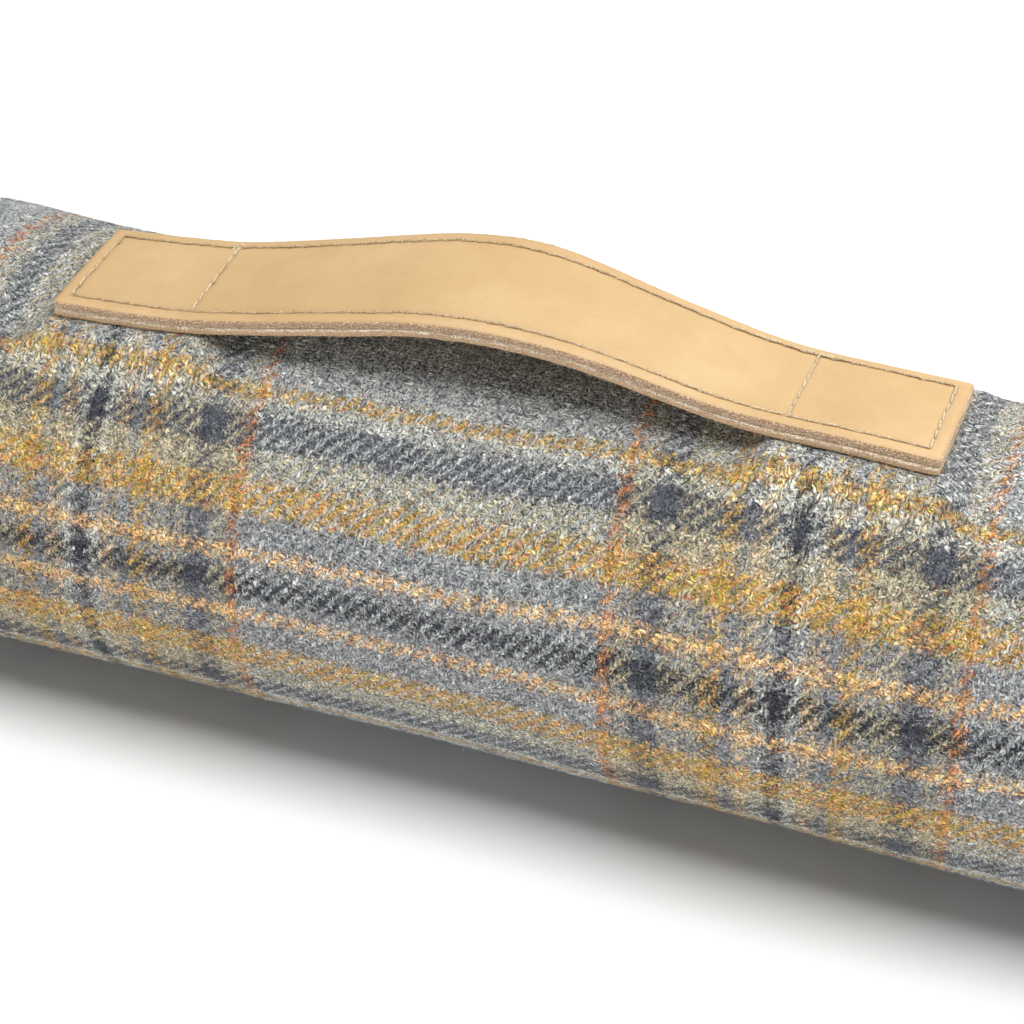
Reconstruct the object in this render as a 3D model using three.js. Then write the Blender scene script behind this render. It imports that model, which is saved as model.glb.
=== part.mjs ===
// Draught excluder: a filled tweed tube that lies on the floor, with a stitched
// two-layer leather carrying handle on its crown.
// Millimetres. +X runs along the tube, -Y is its front, +Z is up.
// The origin is the middle of the base, on the floor.
import * as THREE from 'three';

// ---- driving sizes ----
const LENGTH = 850;            // corner to corner along the tube
const HALF_WIDTH = 51.8;       // half of the tube's width at its widest
const MIDDLE_HEIGHT = 52.5;    // height of the widest point
const BELLY_DEPTH = 53.6;      // from there to the lowest point before the floor presses it flat
const CLOSURE = 143;           // length over which each end draws down to its flat sewn seam
const SEAM_HALF_WIDTH = 78;    // half of the end seam, corner to corner, as gathered
const SEAM_HALF_THICK = 2.5;   // half of the two turned-in cloth edges at the seam
const CORNER_PINCH = 0.5;      // how much the corners are pinched thin, 0 for none

const HANDLE_LENGTH = 204;     // along X, between the square-cut ends
const HANDLE_WIDTH = 32.7;
const LEATHER = 2.2;           // thickness of each leather layer
const GAP = 0.3;               // between pieces that lie on each other
const HANDLE_Y = -4.1;         // the handle sits slightly to the front of the crown
const HANDLE_YAW = 0.0175;     // and is turned by this slope, 1 degree
const PATCH_START = 66;        // the sewn-down ends reach from here to the handle's ends

// How an end closes. u is the share of the cloth from the start of the closure to the seam;
// reachMid and reachSide are how far the crown line and the corner line have come along X;
// half, mid, top and under are the half width, and the heights of the widest point, crown and belly.
// A belly height below 0 is pressed flat by the floor.
const END = [
  { u: 0, reachMid: 0, reachSide: 0, half: HALF_WIDTH, mid: MIDDLE_HEIGHT, top: 105.1, under: -1.1 },
  { u: 0.11, reachMid: 16.5, reachSide: 16.5, half: 52.9, mid: 52.3, top: 104.4, under: -1.1 },
  { u: 0.22, reachMid: 34, reachSide: 32.5, half: 54.2, mid: 51.6, top: 102.8, under: -1.1 },
  { u: 0.33, reachMid: 50.5, reachSide: 48.5, half: 55.8, mid: 50.5, top: 100.2, under: -0.9 },
  { u: 0.44, reachMid: 67.5, reachSide: 64.5, half: 57.8, mid: 49.3, top: 96.3, under: -0.2 },
  { u: 0.55, reachMid: 83.5, reachSide: 80, half: 60.3, mid: 48, top: 91, under: 1.9 },
  { u: 0.66, reachMid: 98.5, reachSide: 95.5, half: 63.6, mid: 46.8, top: 84.1, under: 6.6 },
  { u: 0.77, reachMid: 111.5, reachSide: 111, half: 67.8, mid: 45.8, top: 75.1, under: 14.5 },
  { u: 0.86, reachMid: 119.5, reachSide: 123.5, half: 72.3, mid: 44.6, top: 64.5, under: 24 },
  { u: 0.93, reachMid: 124.5, reachSide: 133.5, half: 75.8, mid: 44.2, top: 55.5, under: 32.5 },
  { u: 0.98, reachMid: 126.8, reachSide: 140.2, half: 77.6, mid: 44, top: 48.5, under: 39.2 },
  { u: 1, reachMid: 127.5, reachSide: CLOSURE, half: SEAM_HALF_WIDTH, mid: 44, top: 44 + SEAM_HALF_THICK, under: 44 - SEAM_HALF_THICK },
];

// Height of the natural crown of the filled tube along its length.
const CROWN = [
  { x: -425, z: 105.1 },
  { x: -200, z: 105.1 },
  { x: -145, z: 105.5 },
  { x: -133, z: 105.2 },
  { x: -122, z: 104.2 },
  { x: -112, z: 103.6 },
  { x: -70, z: 103.8 },
  { x: -35, z: 103.7 },
  { x: 0, z: 103.6 },
  { x: 35, z: 103.8 },
  { x: 70, z: 104.5 },
  { x: 100, z: 104.7 },
  { x: 112, z: 104.0 },
  { x: 135, z: 104.6 },
  { x: 200, z: 105.1 },
  { x: 425, z: 105.1 },
];

// The handle's top face: height on its centre line, and how much higher its back edge is than its front edge.
const HANDLE = [
  { x: -102, top: 106.0, lean: 1.0 },
  { x: -85, top: 106.9, lean: 1.5 },
  { x: -70, top: 108.2, lean: 1.8 },
  { x: -55, top: 111.0, lean: 2.2 },
  { x: -41, top: 114.2, lean: 2.6 },
  { x: -28, top: 117.2, lean: 3.4 },
  { x: -16, top: 119.8, lean: 3.8 },
  { x: -6, top: 121.1, lean: 4.0 },
  { x: 2, top: 121.4, lean: 3.9 },
  { x: 10, top: 120.9, lean: 3.3 },
  { x: 19, top: 119.4, lean: 2.1 },
  { x: 30, top: 116.9, lean: 1.0 },
  { x: 42, top: 114.0, lean: 0.2 },
  { x: 54, top: 111.4, lean: -0.4 },
  { x: 66, top: 109.8, lean: -1.0 },
  { x: 85, top: 108.8, lean: -1.6 },
  { x: 102, top: 107.8, lean: -1.5 },
];

// ---- helpers ----
// Smooth curve through one column of a table, at x.
function along(table, column, x) {
  const n = table.length;
  const key = 'x' in table[0] ? 'x' : 'u';
  if (x <= table[0][key]) return table[0][column];
  if (x >= table[n - 1][key]) return table[n - 1][column];
  let i = 0;
  while (table[i + 1][key] < x) i++;
  const slope = (k) => {
    const a = table[Math.max(k - 1, 0)];
    const b = table[Math.min(k + 1, n - 1)];
    return (b[column] - a[column]) / (b[key] - a[key]);
  };
  const p = table[i];
  const q = table[i + 1];
  const d = q[key] - p[key];
  const t = (x - p[key]) / d;
  return (
    p[column] * (1 + 2 * t) * (1 - t) * (1 - t) +
    slope(i) * d * t * (1 - t) * (1 - t) +
    q[column] * t * t * (3 - 2 * t) +
    slope(i + 1) * d * t * t * (t - 1)
  );
}

const ease = (t) => {
  const c = Math.min(Math.max(t, 0), 1);
  return c * c * (3 - 2 * c);
};

// A closed body from rings of equal size; the first and last ring are closed by caps.
function fromRings(rings, capFirst, capLast) {
  const size = rings[0].length;
  const position = rings.flat(2);
  const index = [];
  for (let r = 0; r + 1 < rings.length; r++) {
    for (let k = 0; k < size; k++) {
      const a = r * size + k;
      const b = r * size + ((k + 1) % size);
      const c = a + size;
      const d = b + size;
      index.push(a, c, b, b, c, d);
    }
  }
  const last = (rings.length - 1) * size;
  for (const [i, j, k] of capFirst) index.push(i, j, k);
  for (const [i, j, k] of capLast) index.push(last + i, last + k, last + j);
  // Faces point outwards: the signed volume decides the turn.
  let volume = 0;
  const v = (i) => new THREE.Vector3(position[3 * i], position[3 * i + 1], position[3 * i + 2]);
  for (let i = 0; i < index.length; i += 3) {
    volume += v(index[i]).dot(v(index[i + 1]).cross(v(index[i + 2]))) / 6;
  }
  if (volume < 0) {
    for (let i = 0; i < index.length; i += 3) {
      const keep = index[i + 1];
      index[i + 1] = index[i + 2];
      index[i + 2] = keep;
    }
  }
  const geometry = new THREE.BufferGeometry();
  geometry.setAttribute('position', new THREE.Float32BufferAttribute(position, 3));
  geometry.setIndex(index);
  geometry.computeVertexNormals();
  return geometry;
}

// ---- handle ----
const handleY = (x) => HANDLE_Y + HANDLE_YAW * x;
const HALF_STACK = LEATHER + GAP / 2;

// Middle surface of the two leather layers at (x, y).
function handleMiddle(x, y) {
  const top = along(HANDLE, 'top', x);
  const lean = along(HANDLE, 'lean', x);
  return top - HALF_STACK + (lean * (y - handleY(x))) / HANDLE_WIDTH;
}

function handleNormal(x, y) {
  const e = 0.5;
  const dx = (handleMiddle(x + e, y) - handleMiddle(x - e, y)) / (2 * e);
  const dy = (handleMiddle(x, y + e) - handleMiddle(x, y - e)) / (2 * e);
  return new THREE.Vector3(-dx, -dy, 1).normalize();
}

// Stations along the handle, shared with the cloth where the handle is sewn down.
const HALF_HANDLE = HANDLE_LENGTH / 2;
const PATCH_STATIONS = [66, 68.5, 74, 80, 86, 92, 98, HALF_HANDLE];
const ARCH_STEP = 4;
const archStations = [];
for (let x = -60; x <= 60.001; x += ARCH_STEP) archStations.push(x);
const handleStations = [...PATCH_STATIONS.map((x) => -x).reverse(), ...archStations, ...PATCH_STATIONS];

function leatherLayer(low, high) {
  const across = [-0.5, 0, 0.5];
  const rings = handleStations.map((x) => {
    const at = (share, lift) => {
      const y = handleY(x) + share * HANDLE_WIDTH;
      const n = handleNormal(x, y);
      return [x + n.x * lift, y + n.y * lift, handleMiddle(x, y) + n.z * lift];
    };
    return [...across.map((s) => at(s, low)), ...[...across].reverse().map((s) => at(s, high))];
  });
  const cap = [
    [0, 1, 5],
    [1, 4, 5],
    [1, 2, 4],
    [2, 3, 4],
  ];
  return fromRings(rings, cap, cap);
}

// ---- filled cloth tube ----
// Lines along the tube: y of the lines over the crown, then even steps round each side.
const CROWN_LINES = [5, 10, 16, 23, 31];
const SIDE_STEPS = 8;
const lineAngles = (() => {
  const crown = CROWN_LINES.map((y) => Math.asin(y / HALF_WIDTH));
  const edge = crown[crown.length - 1];
  const angles = [0, ...crown];
  for (let i = 1; i < SIDE_STEPS; i++) angles.push(edge + ((Math.PI - 2 * edge) * i) / SIDE_STEPS);
  angles.push(...crown.map((a) => Math.PI - a).reverse());
  const half = [...angles, Math.PI];
  return [...half, ...half.slice(1, -1).map((a) => 2 * Math.PI - a).reverse()];
})();

const signedPower = (v, e) => Math.sign(v) * Math.pow(Math.abs(v), e);

// How far the cloth at (x, y) is pressed flat by a sewn-down end of the handle: 1 under it, 0 away from it.
function pressed(x, y) {
  const alongX = Math.min(ease((Math.abs(x) - PATCH_START + 8) / 7), ease((HALF_HANDLE + 10 - Math.abs(x)) / 8));
  const front = ease((y + 31) / 8);
  const back = ease((31 - y) / 15);
  return alongX * Math.min(front, back);
}

function clothPoint(x, angle) {
  const sin = Math.sin(angle);
  const cos = Math.cos(angle);
  const start = LENGTH / 2 - CLOSURE;
  const u = Math.max(0, (Math.abs(x) - start) / CLOSURE);
  const rise = cos > 0 ? along(CROWN, 'z', x) - MIDDLE_HEIGHT : BELLY_DEPTH;
  if (u === 0) {
    const y = -HALF_WIDTH * sin;
    let z = Math.max(0, MIDDLE_HEIGHT + rise * cos);
    const p = cos > 0 ? pressed(x, y) : 0;
    if (p > 0) {
      const n = handleNormal(x, y);
      const under = handleMiddle(x, y) - (HALF_STACK + GAP) / n.z;
      z = z * (1 - p) + under * p;
    }
    return [x, y, z];
  }
  const row = (column) => along(END, column, u);
  const tall = cos > 0 ? row('top') - row('mid') : row('mid') - row('under');
  const reach = row('reachMid') + (row('reachSide') - row('reachMid')) * Math.pow(Math.abs(sin), 1.9);
  const z = row('mid') + tall * signedPower(cos, 1 + CORNER_PINCH * u * u);
  return [Math.sign(x) * (start + reach), -row('half') * sin, Math.max(0, z)];
}

const CLOSURE_RINGS = END.map((row) => row.u);
const BODY_RINGS = [265, 238, 210, 182, 156, 135, 122, 112, 107, 104];
const UNDER_ARCH_RINGS = [62, 58, 50, 42, 34, 26, 17, 8];
const rightHalf = [
  ...UNDER_ARCH_RINGS.slice().reverse(),
  ...PATCH_STATIONS,
  ...BODY_RINGS.slice().reverse(),
  ...CLOSURE_RINGS.map((u) => LENGTH / 2 - CLOSURE + CLOSURE * u),
];
const tubeRings = [...rightHalf.map((x) => -x).reverse(), 0, ...rightHalf];

function filledTube() {
  const rings = tubeRings.map((x) => lineAngles.map((a) => clothPoint(x, a)));
  const n = lineAngles.length;
  const half = n / 2;
  const quarter = n / 4;
  // The end seam is a thin strip: each upper point is joined to the lower point below it.
  const cap = [];
  const mirror = (k) => (half - k + n) % n;
  for (let k = -quarter; k < quarter; k++) {
    const a = (k + n) % n;
    const b = (k + 1 + n) % n;
    const c = mirror(k);
    const d = mirror(k + 1);
    if (a !== c) cap.push([a, b, c]);
    if (b !== d) cap.push([b, d, c]);
  }
  return fromRings(rings, cap, cap);
}

// ---- materials and pieces ----
const tweed = new THREE.MeshStandardMaterial({ color: 0x9b9c9e, roughness: 0.95, metalness: 0 });
const leather = new THREE.MeshStandardMaterial({ color: 0xe3bf8f, roughness: 0.55, metalness: 0 });
const leatherUnder = new THREE.MeshStandardMaterial({ color: 0xb98d63, roughness: 0.7, metalness: 0 });

function piece(name, geometry, material) {
  const mesh = new THREE.Mesh(geometry, material);
  mesh.name = name;
  return mesh;
}

const draughtExcluder = new THREE.Group();
draughtExcluder.add(piece('cover', filledTube(), tweed));
const handle = new THREE.Group();
handle.add(piece('handle_under', leatherLayer(-HALF_STACK, -GAP / 2), leatherUnder));
handle.add(piece('handle_top', leatherLayer(GAP / 2, HALF_STACK), leather));
draughtExcluder.add(handle);

export default draughtExcluder;
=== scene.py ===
"""Draught excluder: a filled tweed tube with flat-sewn ends and a stitched two-layer leather handle.

Metres in the scene; the helper functions work in millimetres and are scaled at the end.
X runs along the tube, -Y is its front, Z is up, and the floor is at 0.
"""
import bpy
import math
import numpy as np
from mathutils import Matrix, Vector


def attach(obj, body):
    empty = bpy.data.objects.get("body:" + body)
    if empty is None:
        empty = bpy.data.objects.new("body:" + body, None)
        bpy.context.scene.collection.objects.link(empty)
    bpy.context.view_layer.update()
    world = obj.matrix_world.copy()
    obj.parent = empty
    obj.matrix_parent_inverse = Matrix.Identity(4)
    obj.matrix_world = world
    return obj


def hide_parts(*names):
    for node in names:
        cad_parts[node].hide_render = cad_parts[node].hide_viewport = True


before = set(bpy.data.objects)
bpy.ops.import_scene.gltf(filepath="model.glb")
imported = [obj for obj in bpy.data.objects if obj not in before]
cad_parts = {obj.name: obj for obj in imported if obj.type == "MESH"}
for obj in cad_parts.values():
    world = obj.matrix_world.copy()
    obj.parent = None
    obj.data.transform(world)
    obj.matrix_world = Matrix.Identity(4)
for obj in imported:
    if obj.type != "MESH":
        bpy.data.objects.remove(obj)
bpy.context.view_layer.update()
scene = bpy.context.scene
MM = 0.001


# ---------------------------------------------------------------- camera
AZIMUTH, ELEVATION, DISTANCE = 20.39, 36.44, 610.8
TARGET = (1.0, 0.0, 56.7)
FOCAL_PX = 2615.0

cam_data = bpy.data.cameras.new("camera")
cam = bpy.data.objects.new("camera", cam_data)
scene.collection.objects.link(cam)
_a, _e = math.radians(AZIMUTH), math.radians(ELEVATION)
back = Vector((math.sin(_a) * math.cos(_e), -math.cos(_a) * math.cos(_e), math.sin(_e)))
cam.location = (Vector(TARGET) + back * DISTANCE) * MM
cam.rotation_mode = "QUATERNION"
cam.rotation_quaternion = (-back).to_track_quat("-Z", "Y")
cam_data.sensor_width = 36.0
cam_data.lens = FOCAL_PX * 36.0 / 1024.0
cam_data.clip_start = 0.02
cam_data.clip_end = 30.0
scene.camera = cam


# ---------------------------------------------------------------- tables of sizes (mm)
def table(columns, rows):
    names = columns.split()
    return {n: np.array([r[i] for r in rows], float) for i, n in enumerate(names)}


CROWN = table("x z", [
    (-425, 105.1), (-200, 105.1), (-145, 105.5), (-133, 105.1), (-122, 103.9), (-112, 103.0), (-95, 102.5), (-75, 102.8), (-35, 103.4),
    (0, 103.6), (35, 103.8), (70, 104.4), (100, 104.4), (112, 103.9), (135, 104.6), (200, 105.1), (425, 105.1),
])
HANDLE = table("x top lean", [
    (-102, 106.0, 1.0), (-85, 106.9, 1.6), (-70, 108.3, 2.3), (-55, 111.2, 3.0), (-41, 114.4, 3.4), (-28, 117.4, 4.1),
    (-16, 120.0, 4.5), (-6, 121.2, 4.6), (2, 121.5, 4.4), (10, 120.9, 3.6), (19, 119.4, 2.3), (30, 116.9, 1.0),
    (42, 114.0, 0.2), (54, 111.4, -0.4), (66, 109.9, -1.0), (85, 109.0, -1.5), (102, 108.2, -1.4),
])
END = table("u reach_mid reach_side half mid top under", [
    (0.00, 0, 0, 51.8, 52.5, 105.1, -1.1),
    (0.11, 16.5, 16.5, 52.9, 52.3, 104.4, -1.1),
    (0.22, 34, 32.5, 54.2, 51.6, 102.8, -1.1),
    (0.33, 50.5, 48.5, 55.8, 50.5, 100.2, -0.9),
    (0.44, 67.5, 64.5, 57.8, 49.3, 96.3, -0.2),
    (0.55, 83.5, 80, 60.3, 48, 91, 1.9),
    (0.66, 98.5, 95.5, 63.6, 46.8, 84.1, 6.6),
    (0.77, 111.5, 111, 67.8, 45.8, 75.1, 14.5),
    (0.86, 119.5, 123.5, 72.3, 44.6, 64.5, 24),
    (0.93, 124.5, 133.5, 75.8, 44.2, 55.5, 32.5),
    (0.98, 126.8, 140.2, 77.6, 44, 48.5, 39.2),
    (1.00, 127.5, 143, 78, 44, 44.4, 43.6),
])
HALF_WIDTH, MIDDLE_HEIGHT, BELLY_DEPTH = 51.8, 52.5, 53.6
GIRTH = 329.4            # round the filled tube
BODY = 282.0             # the straight part ends here, on both sides
CLOSING_CLOTH = 149.0    # cloth from there to the end seam
HANDLE_HALF, HANDLE_WIDTH, HANDLE_Y, HANDLE_YAW = 102.0, 32.7, -4.1, 0.0175
LEATHER = 2.05
HALF_STACK = LEATHER + 0.1


def along(t, column, x, key="x"):
    """Smooth curve through one column of a table, at x."""
    xs, ys = t[key], t[column]
    x = np.clip(np.asarray(x, float), xs[0], xs[-1])
    i = np.clip(np.searchsorted(xs, x, side="right") - 1, 0, len(xs) - 2)
    slope = np.empty(len(xs))
    slope[1:-1] = (ys[2:] - ys[:-2]) / (xs[2:] - xs[:-2])
    slope[0] = (ys[1] - ys[0]) / (xs[1] - xs[0])
    slope[-1] = (ys[-1] - ys[-2]) / (xs[-1] - xs[-2])
    d = xs[i + 1] - xs[i]
    k = (x - xs[i]) / d
    return (
        ys[i] * (1 + 2 * k) * (1 - k) ** 2
        + slope[i] * d * k * (1 - k) ** 2
        + ys[i + 1] * k * k * (3 - 2 * k)
        + slope[i + 1] * d * k * k * (k - 1)
    )


def ease(t):
    t = np.clip(t, 0, 1)
    return t * t * (3 - 2 * t)


# ---------------------------------------------------------------- handle surface
def handle_y(x):
    return HANDLE_Y + HANDLE_YAW * np.asarray(x, float)


def handle_mid(x, y):
    lean = along(HANDLE, "lean", x)
    return along(HANDLE, "top", x) - HALF_STACK + lean * (y - handle_y(x)) / HANDLE_WIDTH


def handle_normal(x, y):
    e = 0.5
    dx = (handle_mid(x + e, y) - handle_mid(x - e, y)) / (2 * e)
    dy = (handle_mid(x, y + e) - handle_mid(x, y - e)) / (2 * e)
    n = np.stack([-dx, -dy, np.ones_like(dx)], -1)
    return n / np.linalg.norm(n, axis=-1, keepdims=True)


def on_handle(l, w, h):
    """The point at l along the handle, w across it and h above its middle surface."""
    l, w, h = np.broadcast_arrays(np.asarray(l, float), np.asarray(w, float), np.asarray(h, float))
    y = handle_y(l) + w
    n = handle_normal(l, y)
    bow = 0.25 * (1 - (2 * w / HANDLE_WIDTH) ** 2)
    p = np.stack([l, y, handle_mid(l, y) + bow], -1)
    return p + n * h[..., None]


# ---------------------------------------------------------------- cloth surface
def pressed(x, y):
    """How far a sewn-down end of the handle presses the cloth flat: 1 under it, 0 away from it."""
    ax = np.abs(x)
    in_x = np.minimum(ease((ax - 59.0) / 8.5), ease((HANDLE_HALF + 9.5 - ax) / 8.5))
    yy = y - handle_y(x)
    half = HANDLE_WIDTH / 2
    in_y = np.minimum(ease((yy + half + 11.0) / 10.0), ease((half + 13.0 - yy) / 12.0))
    return in_x * in_y


def ripple(x, s):
    """Slight lumps of the filling, in mm."""
    a = np.sin(x / 21.0 + 0.9) * np.cos(s / 27.0 + 0.4) * 0.42
    b = np.sin(x / 38.0 - s / 31.0 + 2.1) * 0.5
    c = np.sin(x / 12.5 + s / 17.0 + 4.0) * 0.16
    return a + b + c


def body(x, s):
    """Points of the straight part of the tube: x and s are arrays of rows and columns; s is measured round the cloth from the crown, towards the front."""
    t = np.linspace(-math.pi, math.pi, 2161)
    out = np.zeros((len(x), len(s), 3))
    for i, xi in enumerate(x):
        rise = float(along(CROWN, "z", xi)) - MIDDLE_HEIGHT
        cos, sin = np.cos(t), np.sin(t)
        y = -HALF_WIDTH * sin
        z = np.maximum(MIDDLE_HEIGHT + np.where(cos > 0, rise, BELLY_DEPTH) * cos, 0)
        arc = np.concatenate([[0], np.cumsum(np.hypot(np.diff(y), np.diff(z)))])
        arc = (arc / arc[-1] - 0.5) * GIRTH
        out[i, :, 0] = xi
        out[i, :, 1] = np.interp(s, arc, y)
        out[i, :, 2] = np.interp(s, arc, z)
    X, Y, Z = out[..., 0], out[..., 1], out[..., 2]
    S = np.broadcast_to(s, X.shape)
    # lumps, fading where the floor or the handle holds the cloth
    free = ease(Z / 16.0) * ease((BODY - np.abs(X)) / 25.0)
    p = pressed(X, Y) * (Z > MIDDLE_HEIGHT)
    n = np.stack([np.zeros_like(Y), Y / HALF_WIDTH ** 2, (Z - MIDDLE_HEIGHT) / 52.0 ** 2], -1)
    n /= np.linalg.norm(n, axis=-1, keepdims=True) + 1e-9
    out += n * (ripple(X, S) * free * (1 - p))[..., None]
    X, Y, Z = out[..., 0], out[..., 1], out[..., 2]
    nz = handle_normal(X, Y)[..., 2]
    under = handle_mid(X, Y) - (HALF_STACK + 0.12) / nz
    out[..., 2] = Z * (1 - p) + under * p
    # never above the handle's underside
    inside = (np.abs(X) < HANDLE_HALF + 1.5) & (np.abs(Y - handle_y(X)) < HANDLE_WIDTH / 2 + 1.5)
    out[..., 2] = np.where(inside & (Z > MIDDLE_HEIGHT), np.minimum(out[..., 2], under), out[..., 2])
    return out


# ---------------------------------------------------------------- bag ends: the cloth relaxes over its filling
def bag_end(side, seed, steps, rounds):
    """Simulates one end of the filled tube. The cloth starts near its resting shape, can't stretch, may buckle, and is pushed out by the filling. Rows run from the straight part to the seam."""
    rng = np.random.default_rng(seed)
    n, m = 84, 37
    du, ds = CLOSING_CLOTH / m, GIRTH / n
    s = (np.arange(n) / n) * GIRTH - GIRTH / 2          # column 0 is the seam under the tube
    t = np.linspace(-math.pi, math.pi, 2161)
    y, z = -HALF_WIDTH * np.sin(t), np.maximum(MIDDLE_HEIGHT + np.where(np.cos(t) > 0, 52.6, BELLY_DEPTH) * np.cos(t), 0)
    arc = np.concatenate([[0], np.cumsum(np.hypot(np.diff(y), np.diff(z)))])
    ang = np.interp(s, (arc / arc[-1] - 0.5) * GIRTH, t)
    P = np.zeros((m + 1, n, 3))
    sin, cos = np.sin(ang), np.cos(ang)
    for j in range(m + 1):
        u = j / m
        g = {c: float(along(END, c, u, "u")) for c in ("reach_mid", "reach_side", "half", "mid", "top", "under")}
        reach = g["reach_mid"] + (g["reach_side"] - g["reach_mid"]) * np.abs(sin) ** 1.9
        tall = np.where(cos > 0, g["top"] - g["mid"], g["mid"] - g["under"])
        P[j, :, 0] = BODY + reach
        P[j, :, 1] = -g["half"] * sin
        P[j, :, 2] = np.maximum(g["mid"] + tall * np.sign(cos) * np.abs(cos) ** (1 + 0.5 * u * u), 0)
    start = body(side * (BODY + np.arange(3) * du), s)
    start[..., 0] *= side
    P[:3] = start
    # column of the cloth that meets this one in the seam
    lead = np.where(s >= 0, GIRTH / 2 - s, -GIRTH / 2 - s)
    mirror = np.rint((lead + GIRTH / 2) / ds).astype(int) % n
    P[3:-1] += rng.normal(0, 0.3, P[3:-1].shape)

    def sew():
        P[m] = (P[m] + P[m, mirror]) / 2

    sew()
    hold = np.ones((m + 1, n)); hold[:3] = 0
    Q = P.copy()
    around = np.full((m + 1, 1), ds)
    around[m], around[m - 1], around[m - 2] = ds * 0.945, ds * 0.965, ds * 0.985   # gathered a little by the seam
    diagonal = math.hypot(du, ds)

    def pull(A, B, length, stretch, squeeze, wa, wb):
        d = B - A
        l = np.sqrt((d * d).sum(-1)) + 1e-9
        c = l - length
        f = (np.where(c > 0, stretch, squeeze) * c / l)[..., None] * d
        t = wa + wb + 1e-9
        return f * (wa / t)[..., None], f * (wb / t)[..., None]

    even, odd = np.arange(0, n, 2), np.arange(1, n, 2)
    for step in range(steps):
        V = (P - Q) * (0.92 if step < steps * 0.7 else 0.8)
        Q = P.copy()
        pu = np.zeros_like(P)
        pu[1:-1] = (P[2:] - P[:-2]) / 2
        pu[0], pu[-1] = P[1] - P[0], P[-1] - P[-2]
        ps = (np.roll(P, -1, 1) - np.roll(P, 1, 1)) / 2
        push = np.cross(ps, pu)
        push = push / (du * ds) * (1 + 0.2 * (1 - P[..., 2:3] / 100)) * 0.09
        push[..., 2] -= 0.0045
        P = P + (V + push) * hold[..., None]
        for _ in range(rounds):
            for st in (0, 1):
                j = np.arange(st, m, 2)
                a, b = pull(P[j], P[j + 1], du, 1.0, 0.35, hold[j], hold[j + 1])
                P[j] += a; P[j + 1] -= b
            for k in (even, odd):
                k2 = (k + 1) % n
                a, b = pull(P[:, k], P[:, k2], around, 1.0, 0.3, hold[:, k], hold[:, k2])
                P[:, k] += a; P[:, k2] -= b
            for st in (0, 1):
                j = np.arange(st, m, 2)
                for sh in (1, -1):
                    for k in (even, odd):
                        k2 = (k + sh) % n
                        a, b = pull(P[j][:, k], P[j + 1][:, k2], diagonal, 0.25, 0.12, hold[j][:, k], hold[j + 1][:, k2])
                        P[np.ix_(j, k)] += a; P[np.ix_(j + 1, k2)] -= b
            for st in range(4):
                j = np.arange(st, m - 1, 4)
                a, b = pull(P[j], P[j + 2], 2 * du, 0.0, 0.12, hold[j], hold[j + 2])
                P[j] += a; P[j + 2] -= b
                k = np.arange(st, n, 4)
                k2 = (k + 2) % n
                a, b = pull(P[:, k], P[:, k2], 2 * ds, 0.0, 0.12, hold[:, k], hold[:, k2])
                P[:, k] += a; P[:, k2] -= b
            sew()
            P[..., 2] = np.maximum(P[..., 2], 0)
    P[..., 0] *= side
    return P, du, ds


def cubic(g, r):
    """Rows of the array g at the fractional places r, by a smooth curve through them."""
    n = len(g)
    i = np.clip(np.floor(r).astype(int), 0, n - 2)
    k = (r - i)[(...,) + (None,) * (g.ndim - 1)]
    a, b, c, d = g[np.maximum(i - 1, 0)], g[i], g[i + 1], g[np.minimum(i + 2, n - 1)]
    return 0.5 * (2 * b + (c - a) * k + (2 * a - 5 * b + 4 * c - d) * k ** 2 + (3 * b - a - 3 * c + d) * k ** 3)


NS = 156                                                # columns round the cloth
S_COLS = (np.arange(NS + 1) / NS - 0.5) * GIRTH


def cloth_rows():
    out, x = [0.0], 0.0
    while x < BODY - 1e-6:
        x += 1.62 if x < 124 else 3.0
        out.append(min(x, BODY))
    if out[-1] - out[-2] < 1.0:
        out.pop(-2)
    n = 52
    out += list(BODY + CLOSING_CLOTH * np.arange(1, n + 1) / n)
    right = np.array(out)
    return np.concatenate([-right[:0:-1], right])


X_ROWS = cloth_rows()


def build_cloth():
    """Positions of the whole cover, rows of X_ROWS by NS columns."""
    s = S_COLS[:-1]
    P = np.zeros((len(X_ROWS), NS, 3))
    mid = np.abs(X_ROWS) <= BODY + 1e-6
    P[mid] = body(X_ROWS[mid], s)
    steps, rounds = ((130, 14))
    for side, seed in ((1, 3), (-1, 11)):
        G, du, ds = bag_end(side, seed, steps, rounds)
        sel = np.where(side * X_ROWS > BODY + 1e-6)[0]
        r = (side * X_ROWS[sel] - BODY) / du
        A = cubic(G, r)                                  # rows x n x 3
        A = np.transpose(A, (1, 0, 2))
        c = (s + GIRTH / 2) / ds
        wrap = np.concatenate([A[-2:], A, A[:3]], 0)
        B = cubic(wrap, c + 2)
        P[sel] = np.transpose(B, (1, 0, 2))
    P[..., 2] = np.maximum(P[..., 2], 0)
    # the end seams: the two edges of the cloth meet in one line
    lead = np.where(S_COLS[:-1] >= 0, GIRTH / 2 - S_COLS[:-1], -GIRTH / 2 - S_COLS[:-1])
    mirror = np.rint((lead + GIRTH / 2) / (GIRTH / NS)).astype(int) % NS
    for row in (0, -1):
        P[row] = (P[row] + P[row][mirror]) / 2
    return P, mirror


CLOTH, SEAM_MIRROR = build_cloth()


def grid_normals(P):
    pu = np.zeros_like(P)
    pu[1:-1] = P[2:] - P[:-2]
    pu[0], pu[-1] = P[1] - P[0], P[-1] - P[-2]
    ps = np.roll(P, -1, 1) - np.roll(P, 1, 1)
    n = np.cross(ps, pu)
    n /= np.linalg.norm(n, axis=-1, keepdims=True) + 1e-12
    return n


CLOTH_N = grid_normals(CLOTH)
_mid = len(X_ROWS) // 2
if (CLOTH_N[_mid, NS // 2] @ np.array([0, 0, 1])) < 0:
    CLOTH_N = -CLOTH_N


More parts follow.
